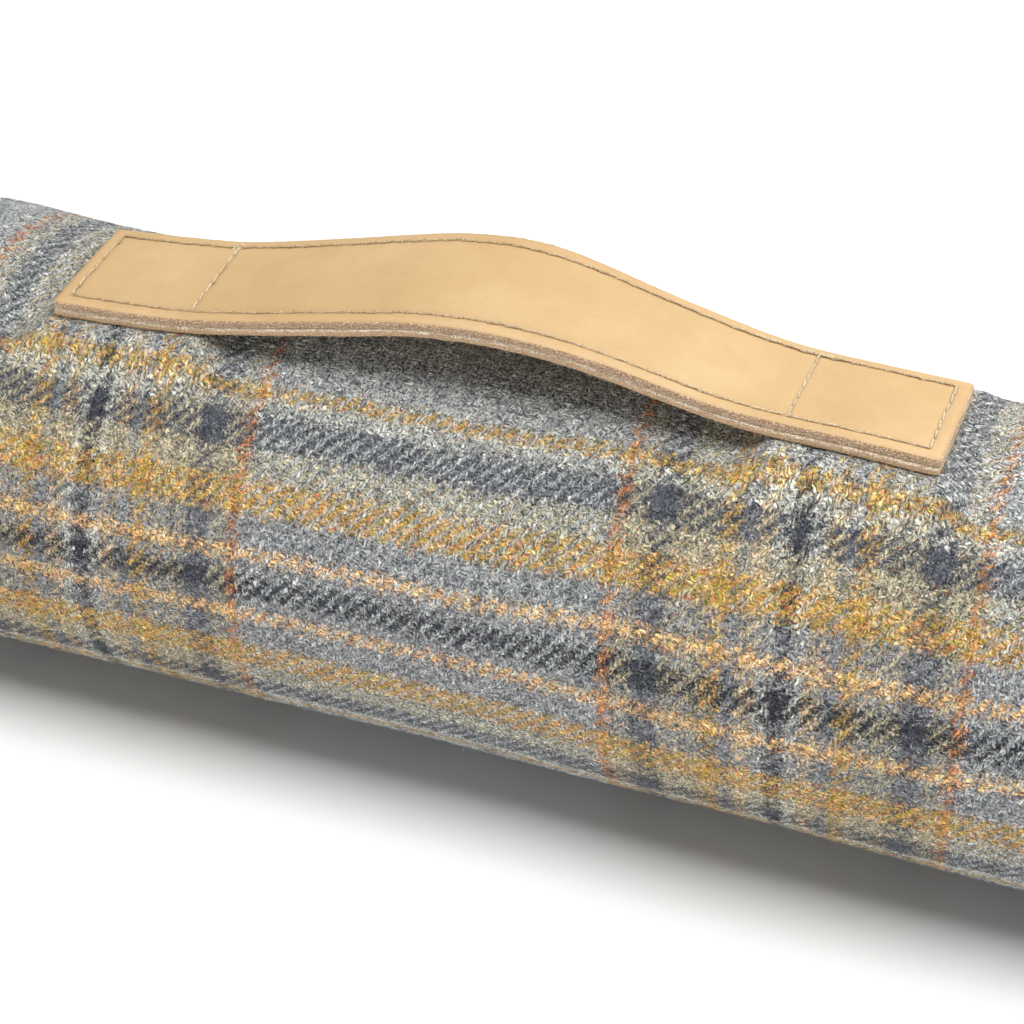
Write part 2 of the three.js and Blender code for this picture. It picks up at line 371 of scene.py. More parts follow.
# ---------------------------------------------------------------- mesh helper
def mesh_object(name, verts, faces, uvs=None, smooth=True, attrs=None, face_mat=None, colours=None):
    """verts in mm (n, 3); faces is an array (m, 3 or 4) or a list of such; uvs maps a layer name to per-corner coordinates."""
    me = bpy.data.meshes.new(name)
    parts = faces if isinstance(faces, (list, tuple)) else [faces]
    parts = [np.asarray(f, np.int32) for f in parts if len(f)]
    total = np.concatenate([f.ravel() for f in parts])
    sizes = np.concatenate([np.full(len(f), f.shape[1], np.int32) for f in parts])
    starts = np.concatenate([[0], np.cumsum(sizes)[:-1]]).astype(np.int32)
    me.vertices.add(len(verts))
    me.vertices.foreach_set("co", (np.asarray(verts, float) * MM).astype(np.float32).ravel())
    me.loops.add(len(total))
    me.loops.foreach_set("vertex_index", total)
    me.polygons.add(len(sizes))
    me.polygons.foreach_set("loop_start", starts)
    me.polygons.foreach_set("loop_total", sizes)
    if smooth:
        me.polygons.foreach_set("use_smooth", np.ones(len(sizes), bool))
    if face_mat is not None:
        me.polygons.foreach_set("material_index", np.asarray(face_mat, np.int32))
    me.update(calc_edges=True)
    for layer, uv in (uvs or {}).items():
        u = me.uv_layers.new(name=layer, do_init=False)
        u.uv.foreach_set("vector", np.asarray(uv, np.float32).ravel())
    for attr, values in (attrs or {}).items():
        a = me.attributes.new(attr, "FLOAT", "POINT")
        a.data.foreach_set("value", np.asarray(values, np.float32))
    if colours is not None:
        a = me.attributes.new("fibre", "FLOAT_COLOR", "POINT")
        a.data.foreach_set("color", np.concatenate([colours, np.ones((len(colours), 1))], 1).astype(np.float32).ravel())
    ob = bpy.data.objects.new(name, me)
    scene.collection.objects.link(ob)
    return ob


# Places on the baked atlas: the right half of the cloth below, the left half above.
X_END = BODY + CLOSING_CLOTH


def atlas(x, s, left):
    m = 0.004
    u = m + (1 - 2 * m) * np.clip(np.abs(x) / X_END, 0, 1)
    v = m + (0.5 - 2 * m) * (s / GIRTH + 0.5)
    return np.stack([u, np.where(left, v + 0.5, v)], -1)


def make_cover():
    rows = len(X_ROWS)
    index = np.arange(rows * NS).reshape(rows, NS)
    for row in (0, rows - 1):
        index[row] = np.minimum(index[row], index[row][SEAM_MIRROR])
    i, j = np.meshgrid(np.arange(rows - 1), np.arange(NS), indexing="ij")
    i, j = i.ravel(), j.ravel()
    j2 = (j + 1) % NS
    quads = np.stack([index[i, j], index[i + 1, j], index[i + 1, j2], index[i, j2]], 1)
    X = X_ROWS
    cu = np.stack([X[i], X[i + 1], X[i + 1], X[i]], 1)
    cs = np.stack([S_COLS[j], S_COLS[j], S_COLS[j + 1], S_COLS[j + 1]], 1)
    left = np.repeat((X[i] + X[i + 1] < 0)[:, None], 4, 1)
    weave = np.stack([cu, cs], -1) * MM
    bake = atlas(cu, cs, left)
    used = np.unique(quads)
    remap = -np.ones(rows * NS, int)
    remap[used] = np.arange(len(used))
    quads = remap[quads]
    verts = CLOTH.reshape(-1, 3)[used]
    # outward faces
    q = quads[len(quads) // 2]
    nrm = np.cross(verts[q[2]] - verts[q[0]], verts[q[3]] - verts[q[1]])
    out = verts[q].mean(0) - np.array([verts[q].mean(0)[0], 0, MIDDLE_HEIGHT])
    if nrm @ out < 0:
        quads = quads[:, ::-1]
        weave, bake = weave[:, ::-1], bake[:, ::-1]
    return mesh_object("tweed_cover", verts, quads, {"weave": weave.reshape(-1, 2), "OFBake": bake.reshape(-1, 2)})


cover = make_cover()


# ---------------------------------------------------------------- node helper
def srgb(r, g, b):
    def lin(c):
        c /= 255.0
        return c / 12.92 if c <= 0.04045 else ((c + 0.055) / 1.055) ** 2.4
    return (lin(r), lin(g), lin(b), 1.0)


class Nodes:
    def __init__(self, tree):
        self.t = tree

    def new(self, kind, **props):
        n = self.t.nodes.new(kind)
        for k, v in props.items():
            setattr(n, k, v)
        return n

    def put(self, value, socket):
        if hasattr(value, "is_linked") or isinstance(value, bpy.types.NodeSocket):
            self.t.links.new(value, socket)
        elif value is not None:
            socket.default_value = value

    def math(self, op, a, b=None, c=None, clamp=False):
        n = self.new("ShaderNodeMath", operation=op, use_clamp=clamp)
        self.put(a, n.inputs[0])
        if b is not None:
            self.put(b, n.inputs[1])
        if c is not None:
            self.put(c, n.inputs[2])
        return n.outputs[0]

    def xyz(self, x, y, z=0.0):
        n = self.new("ShaderNodeCombineXYZ")
        self.put(x, n.inputs[0]); self.put(y, n.inputs[1]); self.put(z, n.inputs[2])
        return n.outputs[0]

    def split(self, v):
        n = self.new("ShaderNodeSeparateXYZ")
        self.put(v, n.inputs[0])
        return n.outputs[0], n.outputs[1], n.outputs[2]

    def noise(self, vec, scale=1.0, detail=2.0, rough=0.5, distort=0.0, dims="3D"):
        n = self.new("ShaderNodeTexNoise", noise_dimensions=dims)
        self.put(vec, n.inputs["Vector"])
        n.inputs["Scale"].default_value = scale
        n.inputs["Detail"].default_value = detail
        n.inputs["Roughness"].default_value = rough
        n.inputs["Distortion"].default_value = distort
        return n.outputs["Fac"]

    def white(self, vec, dims="2D"):
        n = self.new("ShaderNodeTexWhiteNoise", noise_dimensions=dims)
        if dims == "1D":
            self.put(vec, n.inputs["W"])
        else:
            self.put(vec, n.inputs["Vector"])
        return n.outputs["Value"]

    def ramp(self, fac, stops, interpolation="LINEAR"):
        n = self.new("ShaderNodeValToRGB")
        self.put(fac, n.inputs["Fac"])
        cr = n.color_ramp
        cr.interpolation = interpolation
        while len(cr.elements) > 1:
            cr.elements.remove(cr.elements[-1])
        for k, (pos, col) in enumerate(stops):
            e = cr.elements[0] if k == 0 else cr.elements.new(pos)
            e.position = pos
            e.color = col if len(col) == 4 else (*col, 1.0)
        return n.outputs["Color"], n.outputs["Alpha"]

    def mix(self, fac, a, b, blend="MIX", clamp=False):
        n = self.new("ShaderNodeMix", data_type="RGBA", blend_type=blend, clamp_result=clamp)
        self.put(fac, n.inputs["Factor"])
        self.put(a, n.inputs[6])
        self.put(b, n.inputs[7])
        return n.outputs[2]

    def mixf(self, fac, a, b):
        n = self.new("ShaderNodeMix", data_type="FLOAT")
        self.put(fac, n.inputs[0]); self.put(a, n.inputs[2]); self.put(b, n.inputs[3])
        return n.outputs[0]

    def remap(self, v, a, b, c, d, clamp=True):
        n = self.new("ShaderNodeMapRange", clamp=clamp)
        self.put(v, n.inputs[0])
        for k, x in enumerate((a, b, c, d)):
            n.inputs[1 + k].default_value = x
        return n.outputs[0]


# ---------------------------------------------------------------- the check, charted in mm from each stripe's centre
# Last number: how far the yarn is a heather of olive, yellow, orange and red fibres.
NAVY = (36, 39, 48)
SLATE = (70, 73, 81)
MIDGREY = (122, 124, 127)
GROUND = (154, 157, 156)
LIGHT = (170, 170, 161)
BEIGE = (153, 148, 128)
PALE = (174, 160, 134)
PEACH = (222, 170, 118)
YELLOW = (159, 140, 88)
RUST = (168, 98, 68)
FLECKS = [(0.0, (112, 118, 44)), (0.2, (168, 162, 48)), (0.37, (222, 186, 46)), (0.49, (232, 154, 46)), (0.59, (216, 96, 40)), (0.74, (180, 54, 38)), (1.0, (208, 180, 134))]
LIFT = 0.98              # all the cloth's colours, scaled together

ROUND_CHART = [   # stripes that run round the tube
    (0.0, NAVY, 0), (1.8, LIGHT, 0), (5.0, PALE, 0.26), (9.0, MIDGREY, 0), (12.3, YELLOW, 0.6), (16.4, BEIGE, 0.1),
    (26.0, SLATE, 0), (32.0, BEIGE, 0.08), (36.9, RUST, 0.5), (39.2, GROUND, 0),
]
LENGTH_CHART = [  # stripes that run along the tube
    (0.0, NAVY, 0), (2.7, MIDGREY, 0), (6.0, PEACH, 0.16), (9.0, MIDGREY, 0), (16.5, YELLOW, 0.8), (24.5, BEIGE, 0.06),
    (31.2, SLATE, 0), (39.2, LIGHT, 0), (42.7, YELLOW, 0.62), (45.9, GROUND, 0),
]
ROUND_REPEAT, LENGTH_REPEAT = 163.0, 166.5
ROUND_CENTRE, LENGTH_CENTRE = 77.5, 74.0
YARN = 0.95
# The cloth lies a little unevenly: waves of its stripes, as (shift of x?, high, x / , s / , phase), in mm.
DRIFT = [(True, 1.1, 0.0, 23.0, 1.1), (True, 0.8, 41.0, 35.0, 0.4), (False, 0.9, 29.0, 0.0, 2.0), (False, 0.7, 47.0, -31.0, 1.3)]
RISE = ((9.0, 38.0), (1.2, 3.7), (62.0, 86.0))       # between these x the stripes rise by these mm, but not below these s


def drift(x, s):
    dx = sum(h * np.sin((x / a if a else 0) + (s / b if b else 0) + c) for on_x, h, a, b, c in DRIFT if on_x)
    ds = sum(h * np.sin((x / a if a else 0) + (s / b if b else 0) + c) for on_x, h, a, b, c in DRIFT if not on_x)
    return x + dx, s + ds + np.interp(x, RISE[0], RISE[1]) * np.interp(s, RISE[2], (1, 0))


def chart_at(rows, centre, repeat, place):
    """Colour and heather share of the stripe at each place."""
    d = np.abs((place - centre + repeat / 2) % repeat - repeat / 2)
    i = np.searchsorted(np.array([r[0] for r in rows]), d, side="right") - 1
    return np.array([srgb(*r[1])[:3] for r in rows])[i], np.array([r[2] for r in rows], float)[i]


def value_noise(x, s, cell, seed):
    rng = np.random.default_rng(seed)
    g = rng.random((int(900 / cell) + 3, int(360 / cell) + 3))
    a, b = (x + 445) / cell, (s + 175) / cell
    i, j = np.clip(a.astype(int), 0, g.shape[0] - 2), np.clip(b.astype(int), 0, g.shape[1] - 2)
    fa, fb = ease(a - i), ease(b - j)
    return (g[i, j] * (1 - fa) + g[i + 1, j] * fa) * (1 - fb) + (g[i, j + 1] * (1 - fa) + g[i + 1, j + 1] * fa) * fb


def fibre_colours(x, s, rng, spread=0.2):
    """A colour for each loose fibre that starts at (x, s), and whether the yarn round the tube is on top there."""
    k = len(x)
    X, S = drift(x + rng.normal(0, spread, k), s + rng.normal(0, spread, k))
    ia, ib = np.floor(X / YARN), np.floor(S / YARN)
    top = np.mod(ia + ib, 4) < 2
    ca, ha = chart_at(ROUND_CHART, ROUND_CENTRE, ROUND_REPEAT, (ia + 0.5) * YARN + rng.normal(0, 0.55, k))
    cb, hb = chart_at(LENGTH_CHART, LENGTH_CENTRE, LENGTH_REPEAT, (ib + 0.5) * YARN + rng.normal(0, 0.75, k))
    take = np.where(rng.random(k) < np.where(top, 0.24, 0.10), ~top, top)
    rgb = np.where(take[:, None], ca, cb)
    heather = np.where(take, ha, hb)
    hue = np.clip(0.55 * (value_noise(x, s, 1.5, 7) - 0.5) * 1.5 + 0.5 + rng.normal(0, 0.26, k), 0, 1)
    at = np.array([f[0] for f in FLECKS])
    cols = np.array([srgb(*f[1])[:3] for f in FLECKS])
    fleck = np.stack([np.interp(hue, at, cols[:, c]) for c in range(3)], -1)
    bright = rng.random(k) < heather * 0.95
    rgb = np.where(bright[:, None], fleck, rgb)
    tone = np.clip(0.5 + (value_noise(x, s, 1.1, 9) - 0.5) * 0.8 + (rng.random(k) - 0.5) * 0.9, 0, 1)
    wide = np.interp(tone, [0, 0.24, 0.42, 0.7, 1], [0.14, 0.36, 0.92, 1.64, 2.45])
    calm = np.interp(tone, [0, 0.5, 1], [0.5, 1.0, 1.5])
    mult = np.where(bright, calm, wide)[:, None]
    cool = np.stack([np.interp(tone, [0, 0.5, 1], v) for v in ([0.86, 1, 1.02], [0.94, 1, 1.0], [1.16, 1, 0.93])], -1)
    rgb = rgb * mult * np.where(bright[:, None], 1.0, cool) * LIFT
    return np.clip(rgb, 0.004, 0.9), take


def tweed_group():
    g = bpy.data.node_groups.new("tweed", "ShaderNodeTree")
    g.interface.new_socket("Place", in_out="INPUT", socket_type="NodeSocketVector")
    g.interface.new_socket("Color", in_out="OUTPUT", socket_type="NodeSocketColor")
    g.interface.new_socket("Height", in_out="OUTPUT", socket_type="NodeSocketFloat")
    g.interface.new_socket("Heather", in_out="OUTPUT", socket_type="NodeSocketFloat")
    n = Nodes(g)
    gin, gout = n.new("NodeGroupInput"), n.new("NodeGroupOutput")
    mmv = n.new("ShaderNodeVectorMath", operation="SCALE")
    n.put(gin.outputs[0], mmv.inputs[0]); mmv.inputs["Scale"].default_value = 1000.0
    P = mmv.outputs[0]
    X, S, _ = n.split(P)

    def waves(on_x):
        total = 0.0
        for this, high, a, b, phase in DRIFT:
            if this == on_x:
                arg = n.math("MULTIPLY_ADD", X, 1 / a if a else 0.0, n.math("MULTIPLY_ADD", S, 1 / b if b else 0.0, phase))
                total = n.math("MULTIPLY_ADD", n.math("SINE", arg), high, total)
        return total

    # the cloth lies a little unevenly, and its yarns wander
    near1 = n.math("SUBTRACT", n.noise(n.xyz(n.math("ADD", X, 3000.0), S), 0.6, 1.0, 0.6, dims="2D"), 0.5)
    near2 = n.math("SUBTRACT", n.noise(n.xyz(n.math("ADD", X, 5000.0), S), 0.6, 1.0, 0.6, dims="2D"), 0.5)
    X1 = n.math("ADD", X, n.math("MULTIPLY_ADD", near1, 1.5, waves(True)))
    S1 = n.math("ADD", S, n.math("MULTIPLY_ADD", near2, 1.5, waves(False)))
    S1 = n.math("MULTIPLY_ADD", n.remap(X, *RISE[0], *RISE[1]), n.remap(S, *RISE[2], 1.0, 0.0), S1)
    a, b = n.math("DIVIDE", X1, YARN), n.math("DIVIDE", S1, YARN)
    ia, ib = n.math("FLOOR", a), n.math("FLOOR", b)
    fa, fb = n.math("SUBTRACT", a, ia), n.math("SUBTRACT", b, ib)
    # two-and-two twill: 1 where the yarn that runs round the tube is on top
    turn = n.math("FLOORED_MODULO", n.math("ADD", ia, ib), 4.0)
    over = n.math("LESS_THAN", turn, 1.5)
    # charts, read at each yarn's own middle
    dx = n.math("PINGPONG", n.math("MULTIPLY_ADD", near2, 4.5, n.math("MULTIPLY_ADD", ia, YARN, 0.5 * YARN - ROUND_CENTRE)), ROUND_REPEAT / 2)
    ds = n.math("PINGPONG", n.math("MULTIPLY_ADD", near1, 6.0, n.math("MULTIPLY_ADD", ib, YARN, 0.5 * YARN - LENGTH_CENTRE)), LENGTH_REPEAT / 2)

    def chart(d, rows, half):
        stops = [(mm / half, (*srgb(*rgb)[:3], heather)) for mm, rgb, heather in rows]
        return n.ramp(n.math("DIVIDE", d, half), stops, "CONSTANT")

    ca, ha = chart(dx, ROUND_CHART, ROUND_REPEAT / 2)
    cb, hb = chart(ds, LENGTH_CHART, LENGTH_REPEAT / 2)
    # fibres lie along each yarn's twist, 20 degrees off its run; u and v are that turned frame
    c20, s20 = math.cos(math.radians(20)), math.sin(math.radians(20))
    U = n.math("MULTIPLY_ADD", X, c20, n.math("MULTIPLY", S, s20))
    V = n.math("MULTIPLY_ADD", S, c20, n.math("MULTIPLY", X, -s20))

    across, run = n.mixf(over, V, U), n.mixf(over, U, V)
    across = n.math("MULTIPLY_ADD", near2, 1.2, across)

    def streak(fine, long, layer, detail=1.0):
        return n.noise(n.xyz(n.math("MULTIPLY_ADD", across, fine, n.math("MULTIPLY_ADD", over, 370.0, 71.0 * layer)), n.math("MULTIPLY", run, long)), 1.0, detail, 0.6, dims="2D")

    fib = streak(2.2, 0.75, 5.0, 2.0)
    hue = streak(1.9, 0.7, 31.0, 0.0)
    cross = streak(1.7, 0.9, 47.0)
    tone = n.mixf(over, n.white(n.math("ADD", ib, 911.37), "1D"), n.white(n.math("ADD", ia, 0.37), "1D"))
    colour = n.mix(over, cb, ca)
    heather = n.mixf(over, hb, ha)
    under = n.mix(over, ca, cb)
    heather_under = n.mixf(over, ha, hb)
    # the fulled surface carries fibres of the crossing yarn over
    mingle = n.mixf(over, n.remap(cross, 0.48, 0.66, 0.02, 0.50), n.remap(cross, 0.44, 0.62, 0.06, 0.64))
    colour = n.mix(mingle, colour, under)
    heather = n.mixf(mingle, heather, heather_under)
    fleck, _ = n.ramp(n.remap(hue, 0.36, 0.64, 0.0, 1.0), [(pos, srgb(*rgb)) for pos, rgb in FLECKS])
    colour = n.mix(n.math("MULTIPLY", heather, 0.88), colour, fleck)
    # dark and light wool fibres in every yarn
    f = n.remap(fib, 0.34, 0.66, 0.0, 1.0)
    shade, _ = n.ramp(f, [(0.0, (0.16, 0.175, 0.21)), (0.26, (0.41, 0.43, 0.48)), (0.50, (0.98, 0.98, 1.0)), (0.74, (1.56, 1.54, 1.48)), (1.0, (2.15, 2.08, 1.96))])
    calm, _ = n.ramp(f, [(0.0, (0.40, 0.40, 0.42)), (0.30, (0.66, 0.66, 0.68)), (0.55, (1.02, 1.02, 1.0)), (1.0, (1.6, 1.6, 1.5))])
    shade = n.mix(n.math("MULTIPLY", heather, 0.8), shade, calm)
    colour = n.mix(1.0, colour, shade, "MULTIPLY")
    blotch = n.noise(n.xyz(n.math("ADD", X, 7000.0), S), 0.30, 1.0, 0.5, dims="2D")
    colour = n.mix(1.0, colour, n.ramp(blotch, [(0.3, (0.74, 0.74, 0.75)), (0.5, (1.0, 1.0, 1.0)), (0.7, (1.2, 1.2, 1.19))])[0], "MULTIPLY")
    colour = n.mix(1.0, colour, n.ramp(tone, [(0.0, (0.86, 0.86, 0.86)), (1.0, (1.14, 1.14, 1.14))])[0], "MULTIPLY")
    # round yarns that dip at their crossings
    ra = n.math("SUBTRACT", 1.0, n.math("POWER", n.math("ABSOLUTE", n.math("MULTIPLY_ADD", fa, 2.0, -1.0)), 2.2))
    rb = n.math("SUBTRACT", 1.0, n.math("POWER", n.math("ABSOLUTE", n.math("MULTIPLY_ADD", fb, 2.0, -1.0)), 2.2))
    float_a = n.math("FLOORED_MODULO", n.math("ADD", n.math("ADD", ia, ib), fb), 4.0)
    float_b = n.math("FLOORED_MODULO", n.math("SUBTRACT", n.math("ADD", n.math("ADD", ia, ib), fa), 2.0), 4.0)
    arch_a = n.math("SUBTRACT", 1.0, n.math("POWER", n.math("ABSOLUTE", n.math("SUBTRACT", float_a, 1.0)), 3.0))
    arch_b = n.math("SUBTRACT", 1.0, n.math("POWER", n.math("ABSOLUTE", n.math("SUBTRACT", float_b, 1.0)), 3.0))
    h_a = n.math("MULTIPLY", ra, n.math("MULTIPLY_ADD", arch_a, 0.6, 0.4))
    h_b = n.math("MULTIPLY", rb, n.math("MULTIPLY_ADD", arch_b, 0.6, 0.4))
    weave = n.mixf(over, h_b, h_a)
    # yarns shade each other in the hollows
    colour = n.mix(n.remap(weave, 0.0, 0.6, 0.45, 0.0), colour, n.mix(1.0, colour, (0.22, 0.22, 0.24, 1.0), "MULTIPLY"))
    # hair-like curls of the raised surface
    c1 = n.math("ABSOLUTE", n.math("SUBTRACT", n.noise(n.xyz(n.math("ADD", X, 9000.0), S), 0.8, 1.0, 0.6, dims="2D"), 0.5))
    colour = n.mix(n.remap(c1, 0.0, 0.028, 0.32, 0.0), colour, srgb(196, 195, 190))
    colour = n.mix(1.0, colour, (LIFT * 1.08, LIFT * 1.08, LIFT * 1.08, 1.0), "MULTIPLY", clamp=True)
    height = weave
    n.put(colour, gout.inputs[0])
    n.put(height, gout.inputs[1])
    n.put(heather, gout.inputs[2])
    return g


TWEED = tweed_group()


def principled(name, rough=0.8, spec=0.3, sheen=0.0, sheen_rough=0.5):
    m = bpy.data.materials.new(name)
    m.use_nodes = True
    nt = m.node_tree
    bsdf = next(x for x in nt.nodes if x.type == "BSDF_PRINCIPLED")
    bsdf.inputs["Roughness"].default_value = rough
    bsdf.inputs["Specular IOR Level"].default_value = spec
    bsdf.inputs["Sheen Weight"].default_value = sheen
    bsdf.inputs["Sheen Roughness"].default_value = sheen_rough
    return m, Nodes(nt), bsdf


def weave_uv(n, name="weave"):
    u = n.new("ShaderNodeUVMap", uv_map=name)
    return u.outputs[0]


def tweed_material():
    m, n, bsdf = principled("tweed", rough=0.95, spec=0.15, sheen=0.12, sheen_rough=0.6)
    grp = n.new("ShaderNodeGroup")
    grp.node_tree = TWEED
    n.put(weave_uv(n), grp.inputs[0])
    n.put(grp.outputs[0], bsdf.inputs["Base Color"])
    bump = n.new("ShaderNodeBump")
    bump.inputs["Strength"].default_value = 1.0
    bump.inputs["Distance"].default_value = 0.00038
    n.put(grp.outputs[1], bump.inputs["Height"])
    n.put(bump.outputs[0], bsdf.inputs["Normal"])
    return m


cover.data.materials.append(tweed_material())
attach(cover, "root")
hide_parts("cover")


# ---------------------------------------------------------------- leather layers
STITCH_IN, STITCH_PITCH = 3.2, 3.9
CROSS_AT = 68.5
END_AT = HANDLE_HALF - STITCH_IN
ROW_AT = HANDLE_WIDTH / 2 - STITCH_IN


def stitch_rows():
    """Each row of stitching: the places of its holes along (l) and across (w) the handle."""
    rng = np.random.default_rng(5)
    rows = []

    def row(a, b):
        a, b = np.array(a, float), np.array(b, float)
        n = max(2, int(round(np.linalg.norm(b - a) / STITCH_PITCH)))
        t = np.arange(n + 1) / n
        p = a + (b - a) * t[:, None]
        p[1:-1] += rng.normal(0, 0.09, p[1:-1].shape)
        rows.append(p)

    row((-END_AT, -ROW_AT), (END_AT, -ROW_AT))
    row((-END_AT, ROW_AT), (END_AT, ROW_AT))
    row((-END_AT, -ROW_AT), (-END_AT, ROW_AT))
    row((END_AT, -ROW_AT), (END_AT, ROW_AT))
    row((-CROSS_AT, -ROW_AT), (-CROSS_AT, ROW_AT))
    row((CROSS_AT, -ROW_AT), (CROSS_AT, ROW_AT))
    return rows


ROWS = stitch_rows()
HOLES = np.concatenate(ROWS)


def near_stitches(l, w):
    """How near each point is to a needle hole and to a stitch line, as two soft masks."""
    pts = np.stack([l.ravel(), w.ravel()], 1)
    flat = np.zeros(len(pts))
    for k in range(0, len(HOLES), 32):
        h = HOLES[k:k + 32]
        d2 = ((pts[:, None, :] - h[None]) ** 2).sum(-1)
        flat = np.maximum(flat, np.exp(-d2 / 0.32 ** 2).max(1))
    hole = flat.reshape(l.shape)
    dl = np.minimum(np.abs(np.abs(w) - ROW_AT) + 10 * (np.abs(l) > END_AT + 0.3), np.minimum(np.abs(np.abs(l) - END_AT), np.abs(np.abs(l) - CROSS_AT)) + 10 * (np.abs(w) > ROW_AT + 0.3))
    return hole, np.exp(-(dl / 0.85) ** 2)


def leather_piece(name, low, high, grain_up, fine):
    """A leather layer between the heights low and high above the handle's middle surface. Its cut edges bulge a little and its grain edge is rounded."""
    rng = np.random.default_rng(17 if grain_up else 19)
    if fine:
        ls = np.linspace(-HANDLE_HALF, HANDLE_HALF, 425)
        half = HANDLE_WIDTH / 2
        wb = np.concatenate([np.linspace(-half, -half + 5.2, 12), np.linspace(-half + 5.2, half - 5.2, 16)[1:-1], np.linspace(half - 5.2, half, 12)])
    else:
        ls = np.linspace(-HANDLE_HALF, HANDLE_HALF, 213)
        wb = np.linspace(-HANDLE_WIDTH / 2, HANDLE_WIDTH / 2, 20)
    nl, nw = len(ls), len(wb)
    L, W = np.meshgrid(ls, wb, indexing="ij")
    half = HANDLE_WIDTH / 2
    # small unevenness of the hand-cut outline and rounded corners
    wav = 0.16 * np.sin(L / 19.0 + (1.3 if grain_up else 2.2)) + 0.10 * np.sin(L / 7.3 + 0.7)
    inset = 0.16 if grain_up else 0.12
    edge_w = np.minimum(half - np.abs(W), 8)
    edge_l = np.minimum(HANDLE_HALF - np.abs(L), 8)
    Wt = W * (1 - inset / half) + wav * (W / half)
    Lt = L * (1 - inset / HANDLE_HALF)
    # round each corner a little
    cr = 0.6
    cx, cy = HANDLE_HALF - inset - cr, half - inset - cr
    ox, oy = np.abs(Lt) - cx, np.abs(W * (1 - inset / half)) - cy
    both = (ox > 0) & (oy > 0)
    rad = np.hypot(ox, oy)
    sc = np.where(both & (rad > cr), cr / np.maximum(rad, 1e-6), 1.0)
    Lt = np.where(both, np.sign(Lt) * (cx + ox * sc), Lt)
    Wt = np.where(both, np.sign(Wt) * (cy + oy * sc), Wt)
    edge = np.minimum(edge_w, edge_l)
    roll = -0.30 * (1 - ease(edge / 0.9)) if fine else -0.22 * (1 - ease(edge / 1.7))
    hole, line = near_stitches(L, W) if fine else (np.zeros_like(L), np.zeros_like(L))
    soft = 0.05 * np.sin(L / 5.1 + W / 3.3) + 0.05 * np.sin(L / 8.7 - W / 4.1 + 1.0)
    grain_h = roll - 0.16 * line - 0.34 * hole + soft * 0.6
    if grain_up:
        top_h, bot_h = high + grain_h, np.full_like(L, low)
    else:
        top_h, bot_h = np.full_like(L, high), low - grain_h
    top = on_handle(Lt, Wt, top_h)
    bot = on_handle(Lt, Wt, bot_h)
    loop = [(i, 0) for i in range(nl)] + [(nl - 1, j) for j in range(1, nw)] + [(i, nw - 1) for i in range(nl - 2, -1, -1)] + [(0, j) for j in range(nw - 2, 0, -1)]
    loop = np.array(loop)
    nloop = len(loop)
    walls = []
    levels = np.array([0.10, 0.28, 0.5, 0.72, 0.90])
    bulge = np.array([0.26, 0.36, 0.38, 0.34, 0.24]) * (1.0 if grain_up else 0.9)
    Ll, Wl = Lt[loop[:, 0], loop[:, 1]], Wt[loop[:, 0], loop[:, 1]]
    ht, hb = top_h[loop[:, 0], loop[:, 1]], bot_h[loop[:, 0], loop[:, 1]]
    # outward direction of the outline
    tan = np.stack([np.roll(Ll, -1) - np.roll(Ll, 1), np.roll(Wl, -1) - np.roll(Wl, 1)], 1)
    tan /= np.linalg.norm(tan, axis=1, keepdims=True) + 1e-9
    nor = np.stack([tan[:, 1], -tan[:, 0]], 1)
    for f, b in zip(levels, bulge):
        fib = rng.normal(0, 0.06, nloop)
        d = b + fib
        walls.append(on_handle(Ll + nor[:, 0] * d, Wl + nor[:, 1] * d, ht * (1 - f) + hb * f))
    verts = np.concatenate([top.reshape(-1, 3), bot.reshape(-1, 3)] + walls)
    nt = nl * nw
    top_i = np.arange(nt).reshape(nl, nw)
    bot_i = top_i + nt
    rings = [top_i[loop[:, 0], loop[:, 1]]] + [2 * nt + k * nloop + np.arange(nloop) for k in range(len(levels))] + [bot_i[loop[:, 0], loop[:, 1]]]
    i, j = np.meshgrid(np.arange(nl - 1), np.arange(nw - 1), indexing="ij")
    i, j = i.ravel(), j.ravel()
    f_top = np.stack([top_i[i, j], top_i[i + 1, j], top_i[i + 1, j + 1], top_i[i, j + 1]], 1)
    f_bot = np.stack([bot_i[i, j], bot_i[i, j + 1], bot_i[i + 1, j + 1], bot_i[i + 1, j]], 1)
    uv_top = np.stack([L, W], -1)
    uvt = np.stack([uv_top[i, j], uv_top[i + 1, j], uv_top[i + 1, j + 1], uv_top[i, j + 1]], 1)
    uvb = np.stack([uv_top[i, j], uv_top[i, j + 1], uv_top[i + 1, j + 1], uv_top[i + 1, j]], 1)
    step = np.concatenate([[0], np.cumsum(np.hypot(np.diff(Ll), np.diff(Wl)))])
    step = np.append(step, step[-1] + math.hypot(Ll[0] - Ll[-1], Wl[0] - Wl[-1]))
    f_wall, uvw = [], []
    hs = np.concatenate([[0], levels, [1]]) * LEATHER
    k = np.arange(nloop)
    k2 = (k + 1) % nloop
    for r in range(len(rings) - 1):
        f_wall.append(np.stack([rings[r][k], rings[r + 1][k], rings[r + 1][k2], rings[r][k2]], 1))
        uvw.append(np.stack([
            np.stack([step[k], np.full(nloop, hs[r])], -1), np.stack([step[k], np.full(nloop, hs[r + 1])], -1),
            np.stack([step[k + 1], np.full(nloop, hs[r + 1])], -1), np.stack([step[k + 1], np.full(nloop, hs[r])], -1)], 1))
    f_wall = np.concatenate(f_wall)
    uvw = np.concatenate(uvw)
    faces = np.concatenate([f_top, f_bot, f_wall])
    uv = np.concatenate([uvt, uvb, uvw]) * MM
    nt_f, nb_f = len(f_top), len(f_bot)
    mats = np.concatenate([np.full(nt_f, 0 if grain_up else 2), np.full(nb_f, 2 if grain_up else 0), np.full(len(f_wall), 1)])
